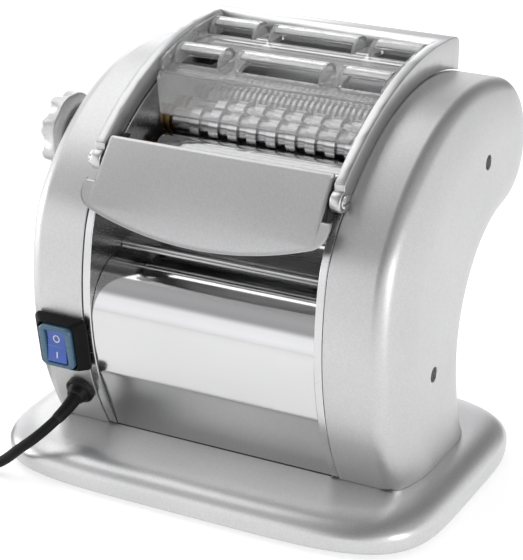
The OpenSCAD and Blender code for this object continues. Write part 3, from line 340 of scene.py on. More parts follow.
class Nodes:
    """Short way to write a node tree."""

    def __init__(self, name):
        self.mat = bpy.data.materials.new(name)
        self.mat.use_nodes = True
        self.tree = self.mat.node_tree
        self.shader = self.tree.nodes["Principled BSDF"]

    def node(self, kind, **values):
        n = self.tree.nodes.new(kind)
        for k, v in values.items():
            setattr(n, k, v)
        return n

    def link(self, a, b):
        self.tree.links.new(a, b)

    def position(self, stretch=(1, 1, 1)):
        c = self.node("ShaderNodeTexCoord")
        m = self.node("ShaderNodeMapping")
        m.inputs["Scale"].default_value = stretch
        self.link(c.outputs["Object"], m.inputs["Vector"])
        return m.outputs["Vector"]

    def noise(self, scale, detail=3.0, stretch=(1, 1, 1), rough=0.55):
        n = self.node("ShaderNodeTexNoise")
        n.inputs["Scale"].default_value = scale
        n.inputs["Detail"].default_value = detail
        n.inputs["Roughness"].default_value = rough
        self.link(self.position(stretch), n.inputs["Vector"])
        return n.outputs["Fac"]

    def ranged(self, value, lo, hi, a=0.3, b=0.7):
        m = self.node("ShaderNodeMapRange")
        for k, v in (("From Min", a), ("From Max", b), ("To Min", lo), ("To Max", hi)):
            m.inputs[k].default_value = v
        self.link(value, m.inputs["Value"])
        return m.outputs["Result"]

    def mix(self, factor, a, b):
        m = self.node("ShaderNodeMix", data_type="RGBA")
        self.link(factor, m.inputs["Factor"])
        for socket, c in ((COLOUR_A, a), (COLOUR_B, b)):
            if isinstance(c, tuple):
                m.inputs[socket].default_value = (*c, 1)
            else:
                self.link(c, m.inputs[socket])
        return m.outputs[COLOUR_OUT]

    def bump(self, height, strength, distance, before=None):
        b = self.node("ShaderNodeBump")
        b.inputs["Strength"].default_value = strength
        b.inputs["Distance"].default_value = distance
        self.link(height, b.inputs["Height"])
        if before is not None:
            self.link(before, b.inputs["Normal"])
        return b.outputs["Normal"]


def shade(v):
    """A single number stands for a grey."""
    return (v, v, v) if isinstance(v, (int, float)) else v


def surface(name, dark, light, metallic, rough, grain, grain_bump, cloud=14.0, stretch=(1, 1, 1),
            wear=None, coat=0.0, wave=0.0):
    """General finish: cloudy colour, grain in roughness and bump, and worn edges where given."""
    n = Nodes(name)
    s = n.shader
    s.inputs["Metallic"].default_value = metallic
    s.inputs["Coat Weight"].default_value = coat
    s.inputs["Coat Roughness"].default_value = 0.12
    base = n.mix(n.ranged(n.noise(cloud, 4.0), 0, 1), shade(dark), shade(light))
    fine = n.noise(grain, 2.0, stretch)
    if wear is not None:
        g = n.node("ShaderNodeNewGeometry")
        edge = n.ranged(g.outputs["Pointiness"], 0, 1, 0.52, 0.60)
        base = n.mix(edge, base, shade(wear))
    n.link(base, s.inputs["Base Color"])
    n.link(n.ranged(fine, rough[0], rough[1]), s.inputs["Roughness"])
    normal = n.bump(fine, 1.0, grain_bump)
    if wave:
        normal = n.bump(n.noise(9.0, 1.0), 1.0, wave, normal)
    n.link(normal, s.inputs["Normal"])
    return n


def flake_paint(name, dark, light, rough):
    """Silver paint with fine metal flakes."""
    n = surface(name, dark, light, 0.80, rough, 1500.0, 0.00004, 9.0)
    v = n.node("ShaderNodeTexVoronoi")
    v.inputs["Scale"].default_value = 1900.0
    n.link(n.position(), v.inputs["Vector"])
    flake = n.ranged(v.outputs["Color"], -0.05, 0.05, 0.0, 1.0)
    mixed = n.node("ShaderNodeMix", data_type="RGBA", blend_type="ADD")
    mixed.inputs["Factor"].default_value = 1.0
    link = n.shader.inputs["Base Color"].links[0]
    n.link(link.from_socket, mixed.inputs[COLOUR_A])
    n.link(flake, mixed.inputs[COLOUR_B])
    n.link(mixed.outputs[COLOUR_OUT], n.shader.inputs["Base Color"])
    return n.mat


MAT = {
    "painted_silver": flake_paint("painted_silver", 0.57, 0.62, (0.34, 0.42)),
    "painted_grey": flake_paint("painted_grey", 0.54, 0.60, (0.32, 0.40)),
    # A lighter copy of painted_grey for the base: painted light, since the base is the same paint as the
    # visor
    "painted_grey_lit_copy": flake_paint("painted_grey_lit_copy", 0.62, 0.68, (0.30, 0.38)),
    "silver_plastic": flake_paint("silver_plastic", 0.56, 0.62, (0.36, 0.44)),
    "polished_steel": surface("polished_steel", 0.62, 0.67, 1.0, (0.07, 0.11), 900.0, 0.000004,
                              6.0, (0.06, 1, 1), wave=0.00022).mat,
    "brushed": surface("brushed", 0.60, 0.68, 1.0, (0.22, 0.28), 900.0, 0.000004, 8.0,
                       (0.03, 1, 1), wear=0.8).mat,
    "machined": surface("machined", 0.66, 0.74, 1.0, (0.16, 0.26), 900.0, 0.000012, 20.0,
                        (1, 0.05, 0.05)).mat,
    "zinc": surface("zinc", 0.52, 0.64, 1.0, (0.28, 0.42), 700.0, 0.00002, 60.0, wear=0.8).mat,
    "alloy": surface("alloy", 0.48, 0.54, 0.9, (0.30, 0.38), 1300.0, 0.00001, 10.0, wear=0.75).mat,
    "bronze": surface("bronze", (0.30, 0.19, 0.08), (0.42, 0.28, 0.13), 1.0, (0.3, 0.45), 900.0,
                      0.00002, 40.0).mat,
    "black_rubber": surface("black_rubber", 0.005, 0.009, 0.0, (0.42, 0.58), 900.0, 0.00003, 25.0,
                            wear=0.03).mat,
    "black_plastic": surface("black_plastic", 0.006, 0.011, 0.0, (0.30, 0.42), 1300.0, 0.00002,
                             30.0, wear=0.04).mat,
    "gear_plastic": surface("gear_plastic", (0.72, 0.70, 0.63), (0.80, 0.78, 0.72), 0.0,
                            (0.34, 0.46), 700.0, 0.00002, 30.0).mat,
    "blue_grey_plastic": surface("blue_grey_plastic", (0.035, 0.10, 0.17), (0.045, 0.125, 0.20), 0.0,
                                 (0.22, 0.34), 1200.0, 0.00001, 40.0, wear=(0.09, 0.2, 0.3),
                                 coat=0.3).mat,
    "blue_plastic": surface("blue_plastic", (0.015, 0.075, 0.42), (0.025, 0.10, 0.50), 0.0,
                            (0.14, 0.22), 1200.0, 0.000006, 60.0, wear=(0.06, 0.2, 0.6),
                            coat=0.4).mat,
    "motor_black": surface("motor_black", 0.03, 0.05, 0.4, (0.35, 0.5), 500.0, 0.00003, 30.0).mat,
    "white_print": surface("white_print", 0.80, 0.88, 0.0, (0.3, 0.4), 900.0, 0.00001, 60.0).mat,
    # Near-black; the strip in the gap under the front sheet uses it as painted shadow
    "dark_void": surface("dark_void", 0.010, 0.018, 0.0, (0.5, 0.7), 500.0, 0.00002, 30.0).mat,
}


def clear_material():
    """Clear moulded plastic with faint waves; its white share that is not transmitted is a painted
    reflection, a bright veil over the sheet.
    """
    n = surface("clear_plastic", 0.96, 0.99, 0.0, (0.015, 0.05), 60.0, 0.00001, 20.0, wave=0.0002)
    # Transmission short of full leaves a white diffuse share: painted reflection on the sheet
    n.shader.inputs["Transmission Weight"].default_value = 0.80
    n.shader.inputs["IOR"].default_value = 1.38
    return n.mat


MAT["clear_plastic"] = clear_material()
for name in ("black_rubber", "black_plastic"):
    MAT[name].node_tree.nodes["Principled BSDF"].inputs["Specular IOR Level"].default_value = 0.12


SLOT_OF = {}
for m in frame["record"]["materials"]:
    for node in m.get("nodes", []):
        SLOT_OF[node] = m["slot"]


def dress(o, slot, body, replaces=()):
    """Gives a piece its material, its body and the CAD nodes that it stands for."""
    o.data.materials.clear()
    o.data.materials.append(MAT[slot])
    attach(o, body)
    if replaces:
        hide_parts(*replaces)
    return o


for name, o in NODES.items():
    known = SLOT_OF.get(name) or (o.data.materials[0].name.split(".")[0] if o.data.materials else "")
    o.data.materials.clear()
    o.data.materials.append(MAT.get(known, MAT["zinc"]))


# ---- mains cord, coil and plug -----------------------------------------------------------------

CORD_D = 6.5
CORD_R = CORD_D / 2
GLAND_X, GLAND_Z, GLAND_OUT = -89.0, 50.0, 9.0
MOUTH_IN = 6.0  # depth of the cord's exit inside the gland
FLOOR = CORD_R + 0.15  # height of the cord's middle where it lies
GLAND_TILT = front_tilt(GLAND_Z)
GLAND_DIR = Vector((0, -math.cos(GLAND_TILT), -math.sin(GLAND_TILT)))
MOUTH = Vector((GLAND_X, front_y(GLAND_Z), GLAND_Z)) + GLAND_DIR * (GLAND_OUT - MOUTH_IN)
COIL_C, COIL_R, PITCH = (GLAND_X - 132.0, -80.0), 38.0, CORD_D * 1.05
COIL_STEPS = 48  # points on a turn
CLIMB_AT, CLIMB_OVER, CLIMB_BULGE = 80.0, 200.0, 0.5  # where a turn changes its station, degrees
ENTRY_Y = COIL_C[1] - COIL_R - PITCH
ROUTE = [tuple(MOUTH), tuple(MOUTH + GLAND_DIR * 5), tuple(MOUTH + GLAND_DIR * 11)]
ROUTE += [(GLAND_X + x, y, z) for x, y, z in (
    (-1.3, -101.5, 41.3), (-5.6, -110.2, 35.4), (-12.8, -116.8, 28.0), (-21.6, -119.9, 20.5),
    (-29.0, -120.1, 13.7), (-35.1, -120.3, 9.0), (-42.4, -120.9, 5.6), (-50.9, -122.4, 3.8),
    (-61.0, ENTRY_Y + 0.8, FLOOR), (-73.0, ENTRY_Y, FLOOR), (-103.0, ENTRY_Y, FLOOR),
    (-132.0, ENTRY_Y, FLOOR))]


def spline(p, per):
    """A smooth line through the points p, with per steps from each to the next."""
    out = []
    for i in range(len(p) - 1):
        a, b, c = (Vector(p[max(0, i - 1)]), Vector(p[i]), Vector(p[i + 1]))
        d = Vector(p[min(len(p) - 1, i + 2)])
        for k in range(per):
            t = k / per
            out.append(0.5 * (2 * b + (c - a) * t + (2 * a - 5 * b + 4 * c - d) * t * t
                              + (3 * b - a - 3 * c + d) * t ** 3))
    out.append(Vector(p[-1]))
    return out


# Stations of the turns across the bundle: (column, row); the cord climbs behind the coil
STATIONS = [(2, 0), (1, 0), (0, 0), (0, 1), (1, 1), (2, 1)]
WOUND = 360.0 * (len(STATIONS) - 1) + 90.0
PLUG_Z = 17.0
PLUG_BEHIND = 38.0  # from the coil's centre back to the plug
RISE, RISE_BEFORE, RISE_AFTER = PLUG_Z - FLOOR - PITCH, 30.0, 24.0


def rise_at(s):
    """Height gained on the way to the plug, s mm past the end of the last turn."""
    return RISE * smooth((s + RISE_BEFORE) / (RISE_BEFORE + RISE_AFTER))


def coil_points():
    """Turns wound clockwise from the front of the coil, ending at its left side."""
    pts = []
    for k in range(int(WOUND / 360 * COIL_STEPS) + 1):
        turn = k * 360.0 / COIL_STEPS
        lap = int(turn // 360)
        t = bent((turn - 360 * lap - CLIMB_AT) / CLIMB_OVER)
        s0 = STATIONS[min(lap, len(STATIONS) - 1)]
        s1 = STATIONS[min(lap + 1, len(STATIONS) - 1)]
        col, row = lerp(s0[0], s1[0], t), lerp(s0[1], s1[1], t)
        if s0[0] == s1[0] and s0[1] != s1[1]:
            col -= CLIMB_BULGE * math.sin(math.pi * t)
        r = COIL_R + (col - 1) * PITCH
        u = unit(-90.0 - turn)
        pts.append(Vector((COIL_C[0] + r * u[0], COIL_C[1] + r * u[1],
                           FLOOR + row * PITCH + rise_at(math.radians(turn - WOUND) * r))))
    return pts


LINE = spline(ROUTE, 6)
TURNS = coil_points()
PLUG_AXIS = (TURNS[-1].x, PLUG_Z)
PLUG_Y = COIL_C[1] + PLUG_BEHIND
LEAD = [TURNS[-1]] + [Vector((PLUG_AXIS[0], TURNS[-1].y + d, FLOOR + PITCH + rise_at(d)))
                      for d in (6.0, 12.0, 18.0, 24.0)]
LEAD.append(Vector((PLUG_AXIS[0], PLUG_Y - 2, PLUG_Z)))


def curve_piece(name, pts, radius, taper=None):
    """A round cord along pts; taper gives its share of the radius along the way."""
    cu = bpy.data.curves.new(name, "CURVE")
    cu.dimensions = "3D"
    cu.bevel_depth = radius * MM
    cu.bevel_resolution = 6
    cu.use_fill_caps = True
    sp = cu.splines.new("POLY")
    sp.points.add(len(pts) - 1)
    for i, p in enumerate(pts):
        sp.points[i].co = (p[0] * MM, p[1] * MM, p[2] * MM, 1)
        sp.points[i].radius = taper(i / (len(pts) - 1)) if taper else 1.0
    sp.use_smooth = True
    o = bpy.data.objects.new(name, cu)
    scene.collection.objects.link(o)
    return o


# The route to the coil, its turns and the lead of the plug
CORD_LINE = LINE + TURNS[1:] + spline([tuple(p) for p in LEAD], 4)[1:]
cord = curve_piece("mains_cord", CORD_LINE, CORD_R)
dress(cord, "black_rubber", "chassis", ("cord", "cord_coil"))


# Outlines of (radius, distance behind PLUG_Y)
PLUG_LINE = [(4.2, -12), (4.8, -11.5), (5.4, -6), (6.6, -1), (9.5, 1), (12.6, 3.4), (15.2, 6.5),
             (16.5, 10), (16.8, 14), (16.8, 22), (16.4, 22.6), (14.6, 22.8), (14.2, 22.2), (0.6, 22.2)]
PIN_LINE = [(2.4, 22.0), (2.4, 38.0), (2.2, 39.2), (1.5, 40.2), (0.4, 40.6)]
PIN_GAP, RIBS, RIB_STEP = 19.0, 4, 2


def behind(line, start):
    return [(r, start + t) for r, t in line]


plug = turned("mains_plug", behind(PLUG_LINE, PLUG_Y), 72, along_y(*PLUG_AXIS))
dress(plug, "black_plastic", "chassis", ("plug",))
rib_line = []
for k in range(RIBS):
    slim = 0.1 * k
    rib = [(4.0, -11.2), (5.8 - slim, -11), (5.9 - slim, -10.1), (4.0, -9.9)]
    rib_line += behind(behind(rib, PLUG_Y), RIB_STEP * k)
plug_ribs = turned("plug_strain_ribs", rib_line, 48, along_y(*PLUG_AXIS))
dress(plug_ribs, "black_rubber", "chassis")
pin_parts = []
for dx in (-PIN_GAP / 2, PIN_GAP / 2):
    pin_place = along_y(PLUG_AXIS[0] + dx, PLUG_AXIS[1])
    pin_parts.append(stack(turned_rings(behind(PIN_LINE, PLUG_Y), 32, pin_place)))
plug_pins = dress(new_mesh("plug_pins", *joined(pin_parts)), "zinc", "chassis")


TIE_AT, TIE_W, TIE_T, TIE_POWER, TIE_N = -35.0, 8.0, 1.1, 4, 48


def coil_tie():
    """A black strap round the bundle of turns, on the side towards the machine."""
    u = unit(TIE_AT)
    half_w, half_h = PITCH + CORD_R + 0.5, 0.5 * PITCH + CORD_R + 0.35
    cz = FLOOR + PITCH / 2
    rings = []
    for s in (-TIE_W / 2, TIE_W / 2):
        for thick in (0.0, TIE_T):
            ring = []
            for k in range(TIE_N):
                q = unit(k * 360 / TIE_N)
                e = (abs(q[0]) ** TIE_POWER + abs(q[1]) ** TIE_POWER) ** (-1 / TIE_POWER)
                rad = COIL_R + (half_w + thick) * e * q[0]
                zz = max((half_h + thick) * e * q[1], -(cz - 0.1))
                ring.append((COIL_C[0] + rad * u[0] - s * u[1], COIL_C[1] + rad * u[1] + s * u[0],
                             cz + zz))
            rings.append(ring)
    order = [rings[0], rings[1], rings[3], rings[2], rings[0]]
    v, f = stack(order, caps=False)
    return new_mesh("coil_tie", v, f)


tie = coil_tie()
weld(tie, 0.01)
apply_all(tie)
soften(tie, 0.25)
dress(tie, "black_plastic", "chassis")

# Cable gland: a round flange and neck, and a tapered sleeve that follows the cord
SLEEVE_LENGTH, SLEEVE_WIDE, SLEEVE_TAPER, SLEEVE_END = 26.0, 1.58, 0.46, 1.05
at = on_front(GLAND_X, GLAND_Z)
gland = turned("cable_gland", [
    (5.6, -8), (5.6, 0.6), (8.9, 0.6), (9.2, 0.9), (9.2, 3.2), (8.7, 3.9), (7.4, 4.1), (6.9, 4.6),
    (6.3, 6.6), (5.6, 8.4), (5.0, 9.0), (3.4, 9.0), (3.4, -8)], 72, at)
dress(gland, "black_plastic", "chassis", ("cord_gland",))
sleeve_line = [p for p in LINE if (p - LINE[0]).length < SLEEVE_LENGTH]
sleeve = curve_piece("strain_relief", sleeve_line, CORD_R,
                     lambda t: SLEEVE_WIDE - SLEEVE_TAPER * t if t < 0.97 else SLEEVE_END)
dress(sleeve, "black_rubber", "chassis")


# ---- side covers -------------------------------------------------------------------------------

def soft_r(i):
    """Radius of the cover's rim at the outline's point i."""
    return lerp(EDGE_R, REAR_EDGE_R, smooth(PATH[i][2]))


def face_x(d):
    """How far out the crowned face lies at a distance d from the outline."""
    return COVER_EDGE + BULGE * (1 - (1 - clamp01(d / DOME)) ** 2)


def cover_rings(skin):
    """Rings of the moulded cover from its inner edge to the flat middle of the face."""
    # None is the inner edge, 0 to 1 the round rim, 1 to 2 the crowned face, and then its flat
    steps = [None, 0.0] + [k / 12 for k in range(1, 13)] + [1 + k / 14 for k in range(1, 15)] + [2.03]
    rings = []
    for s in steps:
        ring = []
        for i in range(NP):
            f = soft_r(i)
            if s is None:
                d, x = 0.0, COVER_IN
            elif s <= 1:
                a = math.radians(90 * s)
                d = f * (1 - math.cos(a))
                x = face_x(d) - f * (1 - math.sin(a))
            else:
                d = lerp(f, DOME, s - 1)
                x = face_x(d)
            p = inset(i, d + skin)
            ring.append((x - (0 if s is None else skin), p[0], p[1]))
        rings.append(ring)
    return rings


POST_LOW, POST_RIGHT, POST_LEFT = (-33.9, 85.6), (38.6, 192.6), (86.0, 214.0)
KNOB_AXIS = (-19.3, 189.5)
HEAD_R, POST_BORE_R, POST_R, KNOB_HOLE_R = 4.5, 2.2, 6.4, 9.05
POST_LIP, POST_SHOULDER = 1.2, 2.6  # depth of a post's mouth and shoulder under the face
DRILL_IN, KNOB_DRILL_IN, DRILL_OUT = 8, 20, 20
FLAT_NORMAL = 0.99999


def cover(name, posts, knob_hole=False):
    """A right-hand cover with its screw holes, and the hollow posts in them."""
    outer, inner = cover_rings(0.0), cover_rings(COVER_WALL)
    o = new_mesh(name, *stack(list(reversed(inner)) + outer))
    slice_off(o, BASE_H)
    tools = [cylinder_x(p, HEAD_R, COVER_EDGE - DRILL_IN, COVER_EDGE + DRILL_OUT) for p in posts]
    if knob_hole:
        tools.append(cylinder_x(KNOB_AXIS, KNOB_HOLE_R, COVER_EDGE - KNOB_DRILL_IN, COVER_EDGE + DRILL_OUT))
    cut(o, tools)
    face = face_x(DOME)
    line = [(POST_BORE_R, COVER_EDGE), (HEAD_R, COVER_EDGE), (HEAD_R, face - POST_LIP),
            (POST_R, face - POST_SHOULDER), (POST_R, COVER_IN), (POST_BORE_R, COVER_IN),
            (POST_BORE_R, COVER_EDGE)]
    cups = [stack(turned_rings(line, 64, along_x(p)), caps=False) for p in posts]
    return o, new_mesh(name + "_posts", *joined(cups))


right_cover, right_posts = cover("right_moulding", [POST_LOW, POST_RIGHT])
left_cover, left_posts = cover("left_moulding", [POST_LOW, POST_LEFT], knob_hole=True)
for o in (left_cover, left_posts):
    mirror_x(o)
for o, node in ((right_cover, "right_cover"), (left_cover, "left_cover")):
    soften(o, 0.5, 50)
    for p in o.data.polygons:
        if abs(p.normal.x) > FLAT_NORMAL:
            p.use_smooth = False
    dress(o, "painted_silver", "chassis", (node,))
for o in (right_posts, left_posts):
    soften(o, 0.2)
    dress(o, "painted_silver", "chassis")


# ---- base --------------------------------------------------------------------------------------

BASE_W, BASE_D, BASE_POWER, BASE_SHIFT, FOOT_H = 288.0, 199.0, 4.7, 19.0, 3.0
SHOULDER, SHOULDER_SHARE, SHOULDER_DROP = 20.0, 0.96, 11.5


def squircle(rx, ry, a):
    """The point at angle a of the base's outline, a rounded rectangle with soft sides."""
    c, s = unit(a)
    k = (abs(c) ** BASE_POWER + abs(s) ** BASE_POWER) ** (-1 / BASE_POWER)
    return rx * k * c, ry * k * s - BASE_SHIFT


def base_body():
    n = 360
    # (distance inside the outline, height): underside, foot edge, round shoulder, flat top
    levels = [(4.0, FOOT_H + 0.4), (1.7, FOOT_H), (1.2, FOOT_H), (0.7, FOOT_H + 0.5), (0.3, FOOT_H + 2.5)]
    for k in range(0, 25):
        a = math.radians(90 * k / 24)
        levels.append((SHOULDER * (1 - math.cos(a)) * SHOULDER_SHARE,
                       lerp(BASE_H - SHOULDER_DROP, BASE_H, math.sin(a))))
    levels.append((SHOULDER * SHOULDER_SHARE + 6, BASE_H))
    rings = []
    for d, z in levels:
        ring = []
        for i in range(n):
            x, y = squircle(BASE_W / 2 - d, BASE_D / 2 - d, 360 * i / n)
            ring.append((x, y, z))
        rings.append(ring)
    return new_mesh("base_moulding", *stack(rings))


base = dress(base_body(), "painted_grey", "chassis", ("base_shell",))
# The base takes the lighter copy of its grey paint: painted light on the base
base.data.materials[0] = MAT["painted_grey_lit_copy"]


# ---- side plates, front panel, rear panel ------------------------------------------------------

def plate_outline():
    pts = [inset(i, 0.6) for i in range(NP)]
    pts = [p for p in pts if p[1] > BASE_H + 0.05]
    return [(pts[0][0], BASE_H)] + pts + [(pts[-1][0], BASE_H)]


CUTTERS = [(6.0, 200.0), (24.75, 200.0), (50.0, 200.0), (68.75, 200.0)]
FRONT_AXIS, REAR_AXIS = (-45.0, 181.0), (-12.1, 181.0)
MOTOR_AXIS = (-14.0, 74.9)
BIG_HOLE_R, CUTTER_HOLE_R = 9.0, 7.0
SLOT_Y, SLOT_Z, SLOT_SHIFT = 12.6, 12.1, 1.3  # half sizes of the rear roller's slot, and its shift
DRILL = (60, 90)


def side_plate(name, motor_hole):
    """A right-hand side plate with its bearing holes."""
    o = extrude_x(name, plate_outline(), PLATE_IN, PLATE_OUT)
    holes = [cylinder_x(FRONT_AXIS, BIG_HOLE_R, *DRILL)]
    holes += [cylinder_x(p, CUTTER_HOLE_R, *DRILL) for p in CUTTERS]
    y, z = REAR_AXIS[0] - SLOT_SHIFT, REAR_AXIS[1]
    slot = [(y - SLOT_Y, z - SLOT_Z), (y + SLOT_Y, z - SLOT_Z), (y + SLOT_Y, z + SLOT_Z),
            (y - SLOT_Y, z + SLOT_Z)]
    holes.append(stack([[(x, *p) for p in slot] for x in DRILL]))
    if motor_hole:
        holes.append(cylinder_x(MOTOR_AXIS, BIG_HOLE_R, *DRILL))
    return cut(o, holes)


right_plate = side_plate("right_plate", True)
soften(right_plate, 0.6, 40, 3)
dress(right_plate, "brushed", "chassis", ("right_side_plate",))
left_plate = side_plate("left_plate", False)
mirror_x(left_plate)
soften(left_plate, 0.6, 40, 3)
dress(left_plate, "brushed", "chassis", ("left_side_plate",))

PANEL_INSET, FOLD_Z, BEND_Z, BEND_R, SHEET_T = 1.5, 67.0, 100.0, 33.5, 1.2
SHELF_SLOPE, SHELF_TAIL = 15.0, 22.0
SHEET_HALF = PLATE_IN - 0.3
FOLD_SHARE, BEND_SKIP = 0.05, 1.5  # how far the fold reaches down, and the bend's first degrees
SEAM_Y = FOOT_FRONT[0] + PANEL_INSET
BEND_A = 180 + math.degrees(math.asin((FRONT_C[1] - BEND_Z) / (FRONT_R - PANEL_INSET)))
BEND_C = add(FRONT_C, unit(BEND_A), FRONT_R - PANEL_INSET - BEND_R)


def panel_line(d):
    """The front sheet from the base up, d behind its face: flat, fold, front, bend and shelf."""
    r = FRONT_R - PANEL_INSET - d
    low = (SEAM_Y + d, BASE_H)
    a0 = 180 + math.degrees(math.asin((FRONT_C[1] - FOLD_Z) / (FRONT_R - PANEL_INSET)))
    upper = arc(FRONT_C, r, a0, BEND_A, 30)
    fold = upper[0]
    before = (lerp(fold[0], low[0], FOLD_SHARE), lerp(fold[1], low[1], FOLD_SHARE))
    after = upper[1]
    crease = []
    for k in range(1, 8):
        t = k / 8
        crease.append(tuple((1 - t) ** 2 * before[j] + 2 * t * (1 - t) * fold[j] + t * t * after[j]
                            for j in (0, 1)))
    straight = [(lerp(low[0], before[0], k / 10), lerp(low[1], before[1], k / 10)) for k in range(11)]
    bend = arc(BEND_C, BEND_R - d, BEND_A - BEND_SKIP, 90 + SHELF_SLOPE, 56)
    tail = [add(bend[-1], unit(SHELF_SLOPE), SHELF_TAIL * k / 6) for k in range(1, 7)]
    return straight + crease + upper[1:] + bend + tail


outer, inner = panel_line(0.0), panel_line(SHEET_T)
front_panel = extrude_x("front_sheet", outer + inner[::-1], -SHEET_HALF, SHEET_HALF)
soften(front_panel, 0.25, 50)
dress(front_panel, "polished_steel", "chassis", ("front_panel",))

# A near-black strip in the gap between the front sheet and the base: painted shadow of the gap
gap_shadow_outline = [(SEAM_Y - 0.5, BASE_H - 0.2), (SEAM_Y - 0.5, BASE_H + 0.12), (SEAM_Y + 0.6, BASE_H + 0.4),
        (SEAM_Y + 0.6, BASE_H - 0.2)]
dress(extrude_x("seam_gap_painted_shadow", gap_shadow_outline, -SHEET_HALF, SHEET_HALF), "dark_void", "chassis")

REAR_FOOT = BASE_H + 0.05


def rear_line(d):
    """The rear sheet from the lobe's start down to the base, d inside the outline."""
    pts = [inset(i, d) for i in range(LOBE_START, NP) if PATH[i][1] > BASE_H + 0.1]
    pts = [p for p in pts if p[1] > REAR_FOOT]
    return pts + [(pts[-1][0], REAR_FOOT)]


rear_sheet = rear_line(PANEL_INSET) + rear_line(PANEL_INSET + SHEET_T)[::-1]
rear_panel = extrude_x("rear_sheet", rear_sheet, -SHEET_HALF, SHEET_HALF)
soften(rear_panel, 0.25, 50)
dress(rear_panel, "brushed", "chassis", ("rear_panel",))


# ---- visor -------------------------------------------------------------------------------------

PIVOT_Z, ARM_END_R = 196.3, 6.2
VISOR_W, VISOR_T, VISOR_TOP, VISOR_MID = 158.6, 2.2, 209.8, 162.5
VISOR_TOP_Y, VISOR_LOW_Y, VISOR_BULGE, VISOR_WRAP = -66.2, -96.6, 10.4, 3.4
LIP_DEPTH, LIP_H, LIP_END = 8.0, 1.5, 62  # the lower edge's inner lip, and where it runs out
CORNER_R, NOTCH_R, SAG_K = 10.0, 1.5, 0.0023
NOTCH = PIVOT_Z - ARM_END_R - 2.3
HALF, NECK = VISOR_W / 2, PLATE_IN - 1.4
# Slope at which the bow of the lower edge meets the round corner, found by repetition
CORNER_A = 0.0
for _ in range(8):
    CORNER_A = math.atan(2 * SAG_K * (HALF - CORNER_R + CORNER_R * math.sin(CORNER_A)))
SAG = HALF - CORNER_R + CORNER_R * math.sin(CORNER_A)
CORNER_Z = VISOR_MID + SAG_K * SAG ** 2 + CORNER_R * math.cos(CORNER_A)


def visor_low(x):
    """The lower edge: a long bow that runs into the round corner without a kink."""
    if x <= SAG:
        return VISOR_MID + SAG_K * x * x
    return CORNER_Z - math.sqrt(max(0, CORNER_R ** 2 - (x - HALF + CORNER_R) ** 2))


def visor_high(x):
    """The upper edge: straight between the arms, with a notch under each arm's end."""
    if x <= NECK + 0.05:
        return VISOR_TOP
    return NOTCH - NOTCH_R + math.sqrt(max(0, NOTCH_R ** 2 - max(0, x - HALF + NOTCH_R) ** 2))


def visor_y(x, z):
    """The visor's face, which swells forward and more so at its lower corners."""
    s = (VISOR_TOP - z) / (VISOR_TOP - VISOR_MID)
    ease = clamp01(s * 1.4) ** 1.5
    bulge = VISOR_BULGE * s * (1 - s)
    wrap = VISOR_WRAP * ease * (x / 80) ** 2
    return lerp(VISOR_TOP_Y, VISOR_LOW_Y, s) - bulge - wrap


def visor_body():
    """A thin curved shell: columns from side to side, rows from the lower edge to the upper."""
    start = math.degrees(CORNER_A)
    bow = [HALF - CORNER_R + CORNER_R * unit(lerp(start, 90, k / 20))[1] for k in range(21)]
    half = [NECK * k / 40 for k in range(1, 40) if NECK * k / 40 < SAG - 0.5]
    half += [x for x in bow if abs(x - NECK - 0.2) > 0.6] + [NECK, NECK + 0.4]
    half.sort()
    xs = [-x for x in reversed(half)] + [0.0] + half
    rows = 44
    front, rear = [], []
    for r in range(rows + 1):
        t = r / rows
        line_f, line_r = [], []
        for x in xs:
            a = abs(x)
            lo, hi = visor_low(a), visor_high(a)
            z = lerp(lo, hi, t)
            y = visor_y(x, z)
            edge = min(1.0, (z - lo) / 1.6)
            swell = 0.5 * (1 - edge) ** 2
            deep = VISOR_T
            if z - lo < LIP_H:
                lip = lerp(LIP_DEPTH, VISOR_T, clamp01((a - LIP_END) / 6))
                deep = lerp(lip, VISOR_T, smooth((z - lo) / LIP_H))
            line_f.append((x, y - swell, z))
            line_r.append((x, y + deep, z))
        front.append(line_f)
        rear.append(line_r)
    n = len(xs)
    verts, faces = stack([f + b[::-1] for f, b in zip(front, rear)], caps=False)
    for k in (0, rows * 2 * n):
        faces += [(k + i, k + i + 1, k + 2 * n - 2 - i, k + 2 * n - 1 - i) for i in range(n - 1)]
    return new_mesh("visor_shell", verts, faces)


visor = visor_body()
soften(visor, 0.45, 50, 3)
dress(visor, "painted_grey", "chassis", ("visor",))


# ---- thickness knob ----------------------------------------------------------------------------

KNOB_X, KNOB_H, KNOB_R, LOBES = COVER_EDGE + BULGE + 1.0, 15.0, 25.0, 8
SCOOP, SCOOP_POWER, KNOB_ROUND, KNOB_RIM, KNOB_N = 4.6, 1.4, 3.0, 7.0, 240


